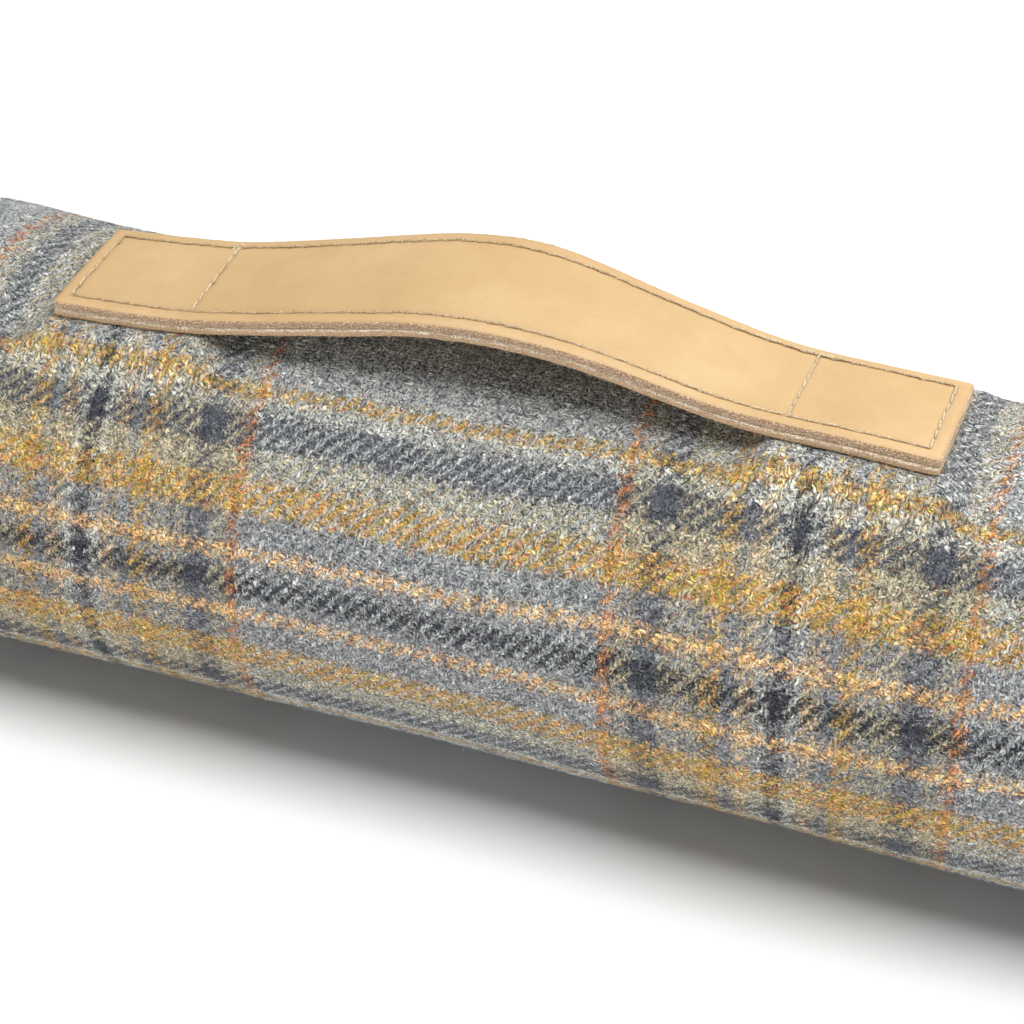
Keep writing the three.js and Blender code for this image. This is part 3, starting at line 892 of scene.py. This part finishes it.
    # baked atlas: top face, bottom face and the cut edge in three bands
    def band(u, v0, v1):
        lo, hi = u.reshape(-1, 2).min(0), u.reshape(-1, 2).max(0)
        q = (u - lo) / (hi - lo)
        return np.stack([0.005 + 0.99 * q[..., 0], v0 + (v1 - v0) * q[..., 1]], -1)
    bake = np.concatenate([band(uvt, 0.51, 0.995), band(uvb, 0.135, 0.49), band(uvw, 0.005, 0.12)])
    hole_v = np.zeros(len(verts)); line_v = np.zeros(len(verts))
    sl = slice(0, nt) if grain_up else slice(nt, 2 * nt)
    hole_v[sl] = hole.ravel(); line_v[sl] = line.ravel()
    line_v[2 * nt:] = np.tile(ease((np.abs(nor[:, 0]) - 0.5) / 0.3), len(levels))      # on the cut edge: its two short ends
    edge_v = np.zeros(len(verts))
    e = np.exp(-(edge / 0.7) ** 2).ravel()
    edge_v[:nt] = e; edge_v[nt:2 * nt] = e; edge_v[2 * nt:] = 1
    ob = mesh_object(name, verts, faces, {"hide": uv.reshape(-1, 2), "OFBake": bake.reshape(-1, 2)},
                     attrs={"hole": hole_v, "line": line_v, "edge": edge_v}, face_mat=mats)
    # faces must point outwards
    me = ob.data
    v = verts[f_top[len(f_top) // 2]]
    if np.cross(v[2] - v[0], v[3] - v[1])[2] < 0:
        me.flip_normals()
    return ob, (Ll, Wl, nor, ht, hb)


leather_top, OUTLINE_TOP = leather_piece("leather_top", 0.06, HALF_STACK, True, True)
leather_under, OUTLINE_UNDER = leather_piece("leather_under", -HALF_STACK, -0.06, False, False)


def attribute(n, name):
    a = n.new("ShaderNodeAttribute", attribute_name=name)
    return a.outputs["Fac"]


def leather_grain(name, warm=1.0):
    m, n, bsdf = principled(name, rough=0.5, spec=0.35)
    uv = weave_uv(n, "hide")
    mmv = n.new("ShaderNodeVectorMath", operation="SCALE")
    n.put(uv, mmv.inputs[0]); mmv.inputs["Scale"].default_value = 1000.0
    P = mmv.outputs[0]
    X, W, _ = n.split(P)
    cloud = n.noise(P, 0.03, 3.0, 0.55)
    cloud2 = n.noise(n.xyz(X, W, 9.0), 0.13, 4.0, 0.6)
    base, _ = n.ramp(cloud, [(0.32, srgb(180, 150, 108)), (0.55, srgb(187, 158, 116)), (0.75, srgb(193, 165, 124))])
    base = n.mix(n.remap(cloud2, 0.35, 0.75, 0.0, 0.26), base, srgb(172, 138, 95))
    pores = n.noise(n.xyz(X, W, 17.0), 2.2, 3.0, 0.7)
    base = n.mix(n.remap(pores, 0.5, 0.8, 0.0, 0.22), base, srgb(152, 115, 76))
    # faint scratches and creases
    scr = n.math("ABSOLUTE", n.math("SUBTRACT", n.noise(n.xyz(n.math("MULTIPLY", X, 0.16), W, 27.0), 0.5, 2.0, 0.5, 0.6), 0.5))
    crease = n.remap(scr, 0.0, 0.012, 1.0, 0.0)
    base = n.mix(n.math("MULTIPLY", crease, 0.14), base, srgb(146, 106, 68))
    hole, line, edge = attribute(n, "hole"), attribute(n, "line"), attribute(n, "edge")
    # painted shade: the colour is darkened along the stitch grooves and, more strongly, in the needle holes, where
    # shade falls in these recesses
    base = n.mix(n.math("MULTIPLY", line, 0.16), base, srgb(150, 112, 72))
    base = n.mix(n.math("MULTIPLY", hole, 0.5, clamp=True), base, srgb(96, 68, 46))
    base = n.mix(n.math("MULTIPLY", edge, 0.30), base, srgb(160, 124, 84))
    n.put(base, bsdf.inputs["Base Color"])
    n.put(n.math("ADD", n.remap(cloud2, 0.3, 0.8, 0.42, 0.58), n.math("MULTIPLY", hole, 0.3)), bsdf.inputs["Roughness"])
    grain = n.new("ShaderNodeTexVoronoi", feature="SMOOTH_F1")
    n.put(P, grain.inputs["Vector"]); grain.inputs["Scale"].default_value = 2.2
    height = n.math("ADD", n.math("MULTIPLY", grain.outputs["Distance"], 0.35), n.math("MULTIPLY_ADD", pores, 0.7, n.math("MULTIPLY", crease, -0.6)))
    bump = n.new("ShaderNodeBump")
    bump.inputs["Strength"].default_value = 0.55
    bump.inputs["Distance"].default_value = 0.00007
    n.put(height, bump.inputs["Height"]); n.put(bump.outputs[0], bsdf.inputs["Normal"])
    return m


def leather_edge(name, upper):
    """A raw cut edge: brown, fibrous along its length, paler at the flesh side."""
    m, n, bsdf = principled(name, rough=0.85, spec=0.15)
    uv = weave_uv(n, "hide")
    mmv = n.new("ShaderNodeVectorMath", operation="SCALE")
    n.put(uv, mmv.inputs[0]); mmv.inputs["Scale"].default_value = 1000.0
    X, H, _ = n.split(mmv.outputs[0])
    fibre = n.noise(n.xyz(n.math("MULTIPLY", X, 1.9), n.math("MULTIPLY", H, 3.1), 3.0), 1.0, 3.0, 0.8)
    coarse = n.noise(n.xyz(n.math("MULTIPLY", X, 0.35), n.math("MULTIPLY", H, 1.3), 8.0), 1.0, 3.0, 0.65)
    col, _ = n.ramp(fibre, [(0.34, srgb(78, 58, 44)), (0.44, srgb(140, 113, 90)), (0.54, srgb(180, 152, 124)), (0.63, srgb(236, 216, 188))])
    drift = n.math("MULTIPLY", n.math("SUBTRACT", coarse, 0.5), 3.0)
    if upper:   # H runs down from the grain side
        lip = n.remap(H, 0.0, 0.26, 1.0, 0.0)
        pale = n.remap(n.math("ADD", H, drift), 1.5, 2.1, 0.0, 0.7)
    else:       # here the grain side is at the bottom
        lip = n.remap(H, LEATHER - 0.42, LEATHER, 0.0, 1.0)
        pale = n.remap(n.math("ADD", H, drift), 0.0, 0.75, 0.95, 0.0)
        col = n.mix(0.40, col, srgb(206, 172, 132))
    col = n.mix(pale, col, n.ramp(fibre, [(0.36, srgb(96, 76, 58)), (0.45, srgb(214, 196, 168)), (0.56, srgb(248, 238, 220))])[0])
    col = n.mix(n.math("MULTIPLY", lip, 0.7), col, srgb(176, 138, 94))
    col = n.mix(n.math("MULTIPLY", attribute(n, "line"), 0.72), col, srgb(224, 200, 166))
    n.put(col, bsdf.inputs["Base Color"])
    bump = n.new("ShaderNodeBump")
    bump.inputs["Strength"].default_value = 0.9
    bump.inputs["Distance"].default_value = 0.0005
    n.put(fibre, bump.inputs["Height"]); n.put(bump.outputs[0], bsdf.inputs["Normal"])
    return m


def leather_flesh():
    m, n, bsdf = principled("leather_flesh", rough=0.95, spec=0.1)
    uv = weave_uv(n, "hide")
    mmv = n.new("ShaderNodeVectorMath", operation="SCALE")
    n.put(uv, mmv.inputs[0]); mmv.inputs["Scale"].default_value = 1000.0
    f = n.noise(mmv.outputs[0], 1.6, 4.0, 0.7)
    col, _ = n.ramp(f, [(0.3, srgb(170, 132, 96)), (0.7, srgb(214, 182, 146))])
    n.put(col, bsdf.inputs["Base Color"])
    return m


grain_mat, grain_under_mat, flesh_mat = leather_grain("leather_grain"), leather_grain("leather_grain_under"), leather_flesh()
for ob, grain, edge in ((leather_top, grain_mat, leather_edge("leather_edge_top", True)), (leather_under, grain_under_mat, leather_edge("leather_edge_under", False))):
    for mat in (grain, edge, flesh_mat):
        ob.data.materials.append(mat)
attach(leather_top, "root"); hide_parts("handle_top")
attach(leather_under, "root"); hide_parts("handle_under")
_line = on_handle(np.linspace(-HANDLE_HALF, HANDLE_HALF, 409), 0.0, 0.0)


# ---------------------------------------------------------------- stitches
def thread(name, rows, height, upwards, seed):
    """Two-ply thread: each stitch rises out of one hole and dips into the next. rows holds the holes of a row and how pale its thread is."""
    rng = np.random.default_rng(seed)
    verts, faces, pale, base = [], [], [], 0
    seg, sides, rad, helix = 12, 6, 0.19, 0.155
    for p, light, aside in rows:
        for a, b in zip(p[:-1], p[1:]):
            if not upwards and max(abs(a[0]), abs(b[0])) > 62:
                continue
            d = b - a
            ln = np.linalg.norm(d)
            d = d / ln
            side = np.array([-d[1], d[0]])
            cut0, cut1 = 0.01 + rng.uniform(0, 0.05), 0.01 + rng.uniform(0, 0.05)
            t = np.linspace(cut0, 1 - cut1, seg + 1)
            q = (t - cut0) / (1 - cut0 - cut1)
            rise = 0.26 * (1 - np.abs(2 * q - 1) ** 3.6) - 0.28 + rng.normal(0, 0.03)
            slant = rng.normal(0.13, 0.05)
            fat = rng.uniform(0.9, 1.12)
            phase = rng.uniform(0, 6.28)
            # painted light: besides its paleness per row and a random spread, the thread is made paler towards the
            # right (+x), where the light falls more strongly
            shade = light + 0.35 * float(ease((a[0] + 40) / 120)) + rng.uniform(-0.15, 0.15)
            for ply in (0, 1):
                ang = phase + ply * math.pi + q * ln * 0.8 * 2 * math.pi / 1.5
                off = helix * fat * np.cos(ang) + (q - 0.5) * slant * 2 + aside
                up = helix * fat * np.sin(ang)
                l = a[0] + d[0] * t * ln + side[0] * off
                w = a[1] + d[1] * t * ln + side[1] * off
                h = rise + up
                c = on_handle(l, w, height + (h if upwards else -h))
                tan = np.gradient(c, axis=0)
                tan /= np.linalg.norm(tan, axis=1, keepdims=True) + 1e-9
                nn = handle_normal(l, handle_y(l) + w)
                u = np.cross(tan, nn); u /= np.linalg.norm(u, axis=1, keepdims=True) + 1e-9
                v = np.cross(u, tan)
                r = rad * fat * (1 - 0.4 * np.abs(2 * q - 1) ** 8)
                th = np.arange(sides) * 2 * math.pi / sides
                ring = c[:, None] + (u[:, None] * np.cos(th)[:, None] + v[:, None] * np.sin(th)[:, None]) * r[:, None, None]
                verts.append(ring.reshape(-1, 3))
                pale.append(np.full((seg + 1) * sides, shade))
                i, j = np.meshgrid(np.arange(seg), np.arange(sides), indexing="ij")
                i, j = i.ravel(), j.ravel()
                j2 = (j + 1) % sides
                faces.append(base + np.stack([i * sides + j, (i + 1) * sides + j, (i + 1) * sides + j2, i * sides + j2], 1))
                fan = np.arange(1, sides - 1)
                faces.append(base + np.stack([np.zeros_like(fan), fan, fan + 1], 1))
                faces.append(base + seg * sides + np.stack([np.zeros_like(fan), fan + 1, fan], 1))
                base += (seg + 1) * sides
    quads = np.concatenate([f for f in faces if f.shape[1] == 4])
    tris = np.concatenate([f for f in faces if f.shape[1] == 3])
    return mesh_object(name, np.concatenate(verts), [quads, tris], attrs={"pale": np.clip(np.concatenate(pale), 0, 1)})


def thread_material():
    m, n, bsdf = principled("thread", rough=0.7, spec=0.25, sheen=0.1)
    geo = n.new("ShaderNodeTexCoord")
    mmv = n.new("ShaderNodeVectorMath", operation="SCALE")
    n.put(geo.outputs["Object"], mmv.inputs[0]); mmv.inputs["Scale"].default_value = 1000.0
    f = n.noise(mmv.outputs[0], 2.2, 3.0, 0.6)
    khaki, _ = n.ramp(f, [(0.35, srgb(134, 108, 74)), (0.5, srgb(166, 140, 102)), (0.65, srgb(192, 170, 132))])
    cream, _ = n.ramp(f, [(0.35, srgb(158, 138, 106)), (0.5, srgb(192, 174, 144)), (0.65, srgb(214, 200, 174))])
    # the pale attribute carries painted light as well as the thread's own paleness: it grows towards the right (+x),
    # where the light falls more strongly
    n.put(n.mix(attribute(n, "pale"), khaki, cream), bsdf.inputs["Base Color"])
    bump = n.new("ShaderNodeBump"); bump.inputs["Strength"].default_value = 0.5; bump.inputs["Distance"].default_value = 0.00006
    n.put(f, bump.inputs["Height"]); n.put(bump.outputs[0], bsdf.inputs["Normal"])
    return m


def part_row(row, lo, hi):
    """The holes of a row between two places along the handle."""
    return row[(row[:, 0] >= lo) & (row[:, 0] <= hi)]


THREAD = thread_material()
TOP_THREADS = [(r, light, 0.0) for r, light in zip(ROWS, (0.22, 0.22, 0.8, 0.8, 0.9, 0.9))]
# the seam was started and ended over itself near one cross row
TOP_THREADS += [(part_row(ROWS[1], 52.0, 61.0), 0.5, 0.34), (part_row(ROWS[1], 63.0, 76.0), 0.5, 0.36), (part_row(ROWS[1], 63.0, 72.0), 0.4, -0.30)]
# a short pale end of thread, left where the other cross row begins
TOP_THREADS += [(np.array([(-70.3, ROW_AT - 1.0), (-67.6, ROW_AT + 1.2)]), 1.0, 0.2), (np.array([(-69.6, ROW_AT + 1.1), (-67.9, ROW_AT - 0.9)]), 1.0, -0.1)]
stitches = thread("stitches_top", TOP_THREADS, HALF_STACK + 0.10, True, 23)
stitches.data.materials.append(THREAD)
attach(stitches, "root")
stitches_under = thread("stitches_under", [(r, 0.3, 0.0) for r in ROWS[:2]], -HALF_STACK - 0.10, False, 29)
stitches_under.data.materials.append(THREAD)
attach(stitches_under, "root")


# ---------------------------------------------------------------- nap and stray hairs of the cloth
def cloth_at(x, s):
    """Position and normal of the cloth at its own coordinates."""
    r = np.interp(x, X_ROWS, np.arange(len(X_ROWS)))
    i = np.clip(r.astype(int), 0, len(X_ROWS) - 2)
    fr = (r - i)[:, None]
    c = (s / GIRTH + 0.5) * NS
    j = np.floor(c).astype(int) % NS
    fc = (c - np.floor(c))[:, None]
    j2 = (j + 1) % NS

    def pick(A):
        return (A[i, j] * (1 - fr) + A[i + 1, j] * fr) * (1 - fc) + (A[i, j2] * (1 - fr) + A[i + 1, j2] * fr) * fc

    p, n = pick(CLOTH), pick(CLOTH_N)
    n /= np.linalg.norm(n, axis=1, keepdims=True) + 1e-9
    return p, n


def hairs(name, count, seed, x_range, s_weight, length, lift, width, segments, curl, offset=0.0, keep_out=True):
    rng = np.random.default_rng(seed)
    x = rng.uniform(*x_range, count)
    s = rng.uniform(-GIRTH / 2, GIRTH / 2, count)
    p, n = cloth_at(x, s)
    keep = rng.random(count) < s_weight(x, s, p)
    if keep_out:      # none sprouts where the handle lies on the cloth
        on = (np.abs(x) > 64) & (np.abs(x) < HANDLE_HALF) & (np.abs(p[:, 1] - handle_y(x)) < HANDLE_WIDTH / 2 - 0.3) & (p[:, 2] > MIDDLE_HEIGHT)
        keep &= ~on
        keep &= p[:, 2] > 0.6
    x, s, p, n = x[keep], s[keep], p[keep], n[keep]
    k = len(x)
    t1 = np.cross(n, np.array([0.0, 1.0, 0.001])); t1 /= np.linalg.norm(t1, axis=1, keepdims=True) + 1e-9
    t2 = np.cross(n, t1)
    phi = rng.uniform(0, 2 * math.pi, k)
    ln = rng.uniform(length[0], length[1], k) * rng.uniform(0.6, 1.0, k)
    el = rng.uniform(lift[0], lift[1], k)
    bend = rng.normal(0, curl, k)
    w = rng.uniform(width[0], width[1], k) / 2
    pts = [p + n * offset]
    dirs = []
    step = ln / segments
    for q in range(segments):
        f = q / max(segments - 1, 1)
        e = el * (1 - 1.25 * f) if segments > 1 else el
        ph = phi + bend * q + rng.normal(0, curl * 0.4, k)
        d = (t1 * np.cos(ph)[:, None] + t2 * np.sin(ph)[:, None]) * np.cos(e)[:, None] + n * np.sin(e)[:, None]
        dirs.append(d)
        pts.append(pts[-1] + d * step[:, None])
    verts = []
    for q in range(segments):
        side = np.cross(dirs[q], n); side /= np.linalg.norm(side, axis=1, keepdims=True) + 1e-9
        ww = (w * (1 - 0.35 * q / segments))[:, None]
        verts += [pts[q] - side * ww, pts[q] + side * ww]
    verts.append(pts[-1])
    per = 2 * segments + 1
    V = np.stack(verts, 1).reshape(-1, 3)
    V[:, 2] = np.maximum(V[:, 2], 0.05)
    base = np.arange(k)[:, None] * per
    tris = []
    for q in range(segments - 1):
        a, b, c, d = 2 * q, 2 * q + 1, 2 * q + 2, 2 * q + 3
        tris += [base + np.array([a, b, d]), base + np.array([a, d, c])]
    tris.append(base + np.array([2 * segments - 2, 2 * segments - 1, 2 * segments]))
    T = np.stack(tris, 1).reshape(-1, 3)
    root = np.stack([x, s], -1)
    # the hair's colour comes from its root; its place on the map keeps a little width
    local = np.zeros((per, 2))
    for q in range(segments):
        local[2 * q] = (-0.25, 1.0 * q / segments); local[2 * q + 1] = (0.25, 1.0 * q / segments)
    local[-1] = (0, 1)
    ang = rng.uniform(0, 2 * math.pi, k)
    ca, sa = np.cos(ang)[:, None], np.sin(ang)[:, None]
    lx = local[None, :, 0] * ca - local[None, :, 1] * sa
    ly = local[None, :, 0] * sa + local[None, :, 1] * ca
    uvx = root[:, None, 0] + lx * 0.8
    uvs = root[:, None, 1] + ly * 0.8
    left = np.repeat((root[:, 0] < 0)[:, None], per, 1)
    bake_v = atlas(np.where(left, np.minimum(uvx, -0.01), np.maximum(uvx, 0.01)), np.clip(uvs, -GIRTH / 2, GIRTH / 2), left).reshape(-1, 2)
    rgb, _ = fibre_colours(x, s, rng)
    return mesh_object(name, V, T, {"OFBake": bake_v[T.ravel()]}, colours=np.repeat(rgb, per, 0), smooth=False)


def nap_material():
    m, n, bsdf = principled("tweed_nap", rough=0.9, spec=0.2, sheen=0.1)
    a = n.new("ShaderNodeAttribute", attribute_name="fibre")
    n.put(a.outputs["Color"], bsdf.inputs["Base Color"])
    return m


NAP = nap_material()


def seen_side(x, s, p):
    """More hairs where the middle of the tube shows, fewer underneath."""
    up = ease((p[:, 2] - 1.0) / 10.0)
    return 0.15 + 0.85 * up


def everywhere(x, s, p):
    return 0.1 + 0.9 * ease((p[:, 2] - 1.0) / 12.0)


def wisps(name, count, seed, x_range, weight, length, width, lift, jitter):
    """Short fibres that lie on the cloth along the yarns' twist, one narrow triangle each."""
    rng = np.random.default_rng(seed)
    x = rng.uniform(*x_range, count)
    s = rng.uniform(-GIRTH / 2, GIRTH / 2, count)
    p, n = cloth_at(x, s)
    keep = rng.random(count) < weight(x, s, p)
    on = (np.abs(x) > 64) & (np.abs(x) < HANDLE_HALF - 0.5) & (np.abs(p[:, 1] - handle_y(x)) < HANDLE_WIDTH / 2 - 0.6) & (p[:, 2] > MIDDLE_HEIGHT)
    keep &= ~on & (p[:, 2] > 0.4)
    x, s, p, n = x[keep], s[keep], p[keep], n[keep]
    k = len(x)
    # the yarn that a fibre comes from decides its colour and how it lies
    rgb, top = fibre_colours(x, s, rng)
    lie = np.where(top, math.radians(-70), math.radians(20)) + rng.normal(0, jitter, k) + np.where(rng.random(k) < 0.5, math.pi, 0)
    px, ps = cloth_at(x + 0.6, s)[0] - p, cloth_at(x, s + 0.6)[0] - p
    px /= np.linalg.norm(px, axis=1, keepdims=True) + 1e-9
    ps /= np.linalg.norm(ps, axis=1, keepdims=True) + 1e-9
    d = px * np.cos(lie)[:, None] + ps * np.sin(lie)[:, None]
    side = np.cross(d, n)
    side /= np.linalg.norm(side, axis=1, keepdims=True) + 1e-9
    ln = rng.uniform(*length, k)[:, None]
    w = rng.uniform(*width, k)[:, None] / 2
    el = rng.uniform(*lift, k)[:, None]
    base = p + n * rng.uniform(0.02, 0.22, k)[:, None]
    roll = rng.normal(0, 0.35, k)[:, None]
    A, B = base - side * w - n * w * roll, base + side * w + n * w * roll
    C = base + d * ln * np.cos(el) + n * ln * np.sin(el)
    V = np.stack([A, B, C], 1).reshape(-1, 3)
    V[:, 2] = np.maximum(V[:, 2], 0.05)
    T = np.arange(3 * k).reshape(-1, 3)
    du, dv = np.cos(lie), np.sin(lie)
    r = 0.35
    local = np.stack([np.stack([-dv * r, du * r], -1), np.stack([dv * r, -du * r], -1), np.stack([du, dv], -1)], 1)
    root = np.stack([x, s], -1)[:, None]
    left = np.repeat((x < 0)[:, None], 3, 1)
    q = root + local * 0.7
    bake = atlas(np.where(left, np.minimum(q[..., 0], -0.01), np.maximum(q[..., 0], 0.01)), np.clip(q[..., 1], -GIRTH / 2, GIRTH / 2), left)
    return mesh_object(name, V, T, {"OFBake": bake.reshape(-1, 2)}, colours=np.repeat(rgb, 3, 0), smooth=False)


naps = []
MIDDLE = (-142, 142)
for k in range(3):
    naps.append(wisps("nap_middle_%d" % (k + 1), 120000, 101 + k, MIDDLE, seen_side, (0.5, 1.35), (0.08, 0.17), (0.02, 0.30), 0.50))
naps.append(wisps("nap_middle_4", 130000, 107, MIDDLE, seen_side, (0.8, 1.9), (0.065, 0.12), (0.02, 0.34), 0.62))
naps.append(wisps("nap_outer", 190000, 105, (-X_END + 0.5, X_END - 0.5), lambda x, s, p: everywhere(x, s, p) * (np.abs(x) > 140), (1.0, 2.2), (0.2, 0.34), (0.02, 0.30), 0.55))
naps.append(hairs("stray_hairs", 9000, 104, (-X_END + 0.5, X_END - 0.5), everywhere, (2.0, 4.6), (0.5, 1.35), (0.045, 0.075), 4, 0.45))
for ob in naps:
    ob.data.materials.append(NAP)
    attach(ob, "root")


# ---------------------------------------------------------------- fibres on the leather's cut edges
def edge_fibres(name, outline, count, seed, length):
    Ll, Wl, nor, ht, hb = outline
    rng = np.random.default_rng(seed)
    step = np.hypot(np.roll(Ll, -1) - Ll, np.roll(Wl, -1) - Wl)
    cum = np.concatenate([[0], np.cumsum(step)])
    at = rng.uniform(0, cum[-1] * 0.9999, count)
    i = np.searchsorted(cum, at, side="right") - 1
    i2 = (i + 1) % len(Ll)
    f = (at - cum[i]) / np.maximum(step[i], 1e-9)
    l, w = Ll[i] * (1 - f) + Ll[i2] * f, Wl[i] * (1 - f) + Wl[i2] * f
    no = nor[i] * (1 - f)[:, None] + nor[i2] * f[:, None]
    ta = np.stack([-no[:, 1], no[:, 0]], 1)
    h = rng.uniform(0.12, 0.95, count)
    hh = ht[i] * (1 - h) + hb[i] * h
    ln = rng.uniform(*length, count)
    ang = rng.normal(0, 0.9, count)
    run = np.where(rng.random(count) < 0.5, 1, -1)
    out0 = 0.30
    k = count
    half = rng.uniform(0.02, 0.045, count)
    mid_l = l + (no[:, 0] * 0.30 + ta[:, 0] * run * 0.5) * ln
    mid_w = w + (no[:, 1] * 0.30 + ta[:, 1] * run * 0.5) * ln
    end_l = l + (no[:, 0] * 0.42 + ta[:, 0] * run) * ln
    end_w = w + (no[:, 1] * 0.42 + ta[:, 1] * run) * ln
    dh = 0.25 * ln * np.sin(ang)
    A = on_handle(l + no[:, 0] * out0, w + no[:, 1] * out0, hh - half)
    B = on_handle(l + no[:, 0] * out0, w + no[:, 1] * out0, hh + half)
    C = on_handle(mid_l + no[:, 0] * out0, mid_w + no[:, 1] * out0, hh + dh * 0.5 - half * 0.8)
    D = on_handle(mid_l + no[:, 0] * out0, mid_w + no[:, 1] * out0, hh + dh * 0.5 + half * 0.8)
    E = on_handle(end_l + no[:, 0] * out0, end_w + no[:, 1] * out0, hh + dh)
    V = np.stack([A, B, C, D, E], 1).reshape(-1, 3)
    b = np.arange(k)[:, None] * 5
    T = np.stack([b + np.array([0, 1, 3]), b + np.array([0, 3, 2]), b + np.array([2, 3, 4])], 1).reshape(-1, 3)
    ob = mesh_object(name, V, T, attrs={"tone": np.repeat(rng.random(k), 5)}, smooth=False)
    return ob


def edge_fibre_material():
    m, n, bsdf = principled("edge_fibres", rough=0.9, spec=0.1)
    col, _ = n.ramp(attribute(n, "tone"), [(0.0, srgb(110, 84, 62)), (0.4, srgb(166, 136, 106)), (0.75, srgb(214, 186, 152)), (1.0, srgb(240, 224, 196))])
    n.put(col, bsdf.inputs["Base Color"])
    return m


edge_mat = edge_fibre_material()
for nm, outline, cnt, sd in (("edge_fibres_top", OUTLINE_TOP, 2600, 41), ("edge_fibres_under", OUTLINE_UNDER, 2200, 43)):
    ob = edge_fibres(nm, outline, cnt, sd, (0.3, 1.1))
    ob.data.materials.append(edge_mat)
    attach(ob, "root")


# ---------------------------------------------------------------- floor and light
def floor():
    size = 6.0
    me = bpy.data.meshes.new("floor")
    me.from_pydata([(-size, -size, 0), (size, -size, 0), (size, size, 0), (-size, size, 0)], [], [(0, 1, 2, 3)])
    ob = bpy.data.objects.new("floor", me)
    scene.collection.objects.link(ob)
    m, nn, bsdf = principled("floor_paper", rough=0.9, spec=0.1)
    geo = nn.new("ShaderNodeTexCoord")
    f = nn.noise(geo.outputs["Object"], 3.0, 2.0)
    col, _ = nn.ramp(f, [(0.3, (0.79, 0.79, 0.793)), (0.7, (0.81, 0.81, 0.813))])
    nn.put(col, bsdf.inputs["Base Color"])
    me.materials.append(m)
    return ob


floor()


def area(name, loc, target, size, watts, colour=(1, 1, 1)):
    d = bpy.data.lights.new(name, "AREA")
    d.shape = "RECTANGLE"
    d.size, d.size_y = size
    d.energy = watts
    d.color = colour
    o = bpy.data.objects.new(name, d)
    o.location = loc
    o.rotation_mode = "QUATERNION"
    o.rotation_quaternion = (Vector(target) - Vector(loc)).to_track_quat("-Z", "Y")
    o.visible_camera = False
    scene.collection.objects.link(o)
    return o


area("key_soft", (0.38, 0.26, 0.56), (0, 0, 0.05), (0.5, 0.4), 4.2, (1.0, 0.99, 0.97))
area("front_fill", (-0.1, -1.3, 0.09), (0, 0, 0.05), (1.3, 0.12), 11.4, (1.0, 1.0, 1.0))

world = bpy.data.worlds.new("studio")
scene.world = world
world.use_nodes = True
wn = Nodes(world.node_tree)
bg = next(x for x in world.node_tree.nodes if x.type == "BACKGROUND")
bg.inputs["Color"].default_value = (1.0, 1.0, 1.0, 1.0)
# a light tent, with a wide soft panel overhead; it is far away, so the floor is lit evenly
sky = wn.new("ShaderNodeTexCoord")
sx, sy, sz = wn.split(sky.outputs["Generated"])
tall = wn.math("MAXIMUM", sz, 0.05)
px, py = wn.math("DIVIDE", sx, tall), wn.math("DIVIDE", sy, tall)
panel = wn.math("MULTIPLY", wn.remap(wn.math("ABSOLUTE", px), 0.46, 0.70, 1.0, 0.0), wn.remap(wn.math("ABSOLUTE", wn.math("ADD", py, 0.13)), 0.19, 0.33, 1.0, 0.0))
panel = wn.math("MULTIPLY", panel, wn.math("GREATER_THAN", sz, 0.3))
glow = wn.math("MAXIMUM", wn.math("ADD", 0.115, wn.math("MULTIPLY_ADD", sz, 0.04, wn.math("MULTIPLY", sy, 0.06))), 0.07)
glow = wn.math("MULTIPLY_ADD", panel, 7.1, glow)
wn.put(glow, bg.inputs["Strength"])

scene.cycles.diffuse_bounces = 2
scene.cycles.glossy_bounces = 2
scene.view_settings.view_transform = "Standard"
scene.view_settings.look = "None"
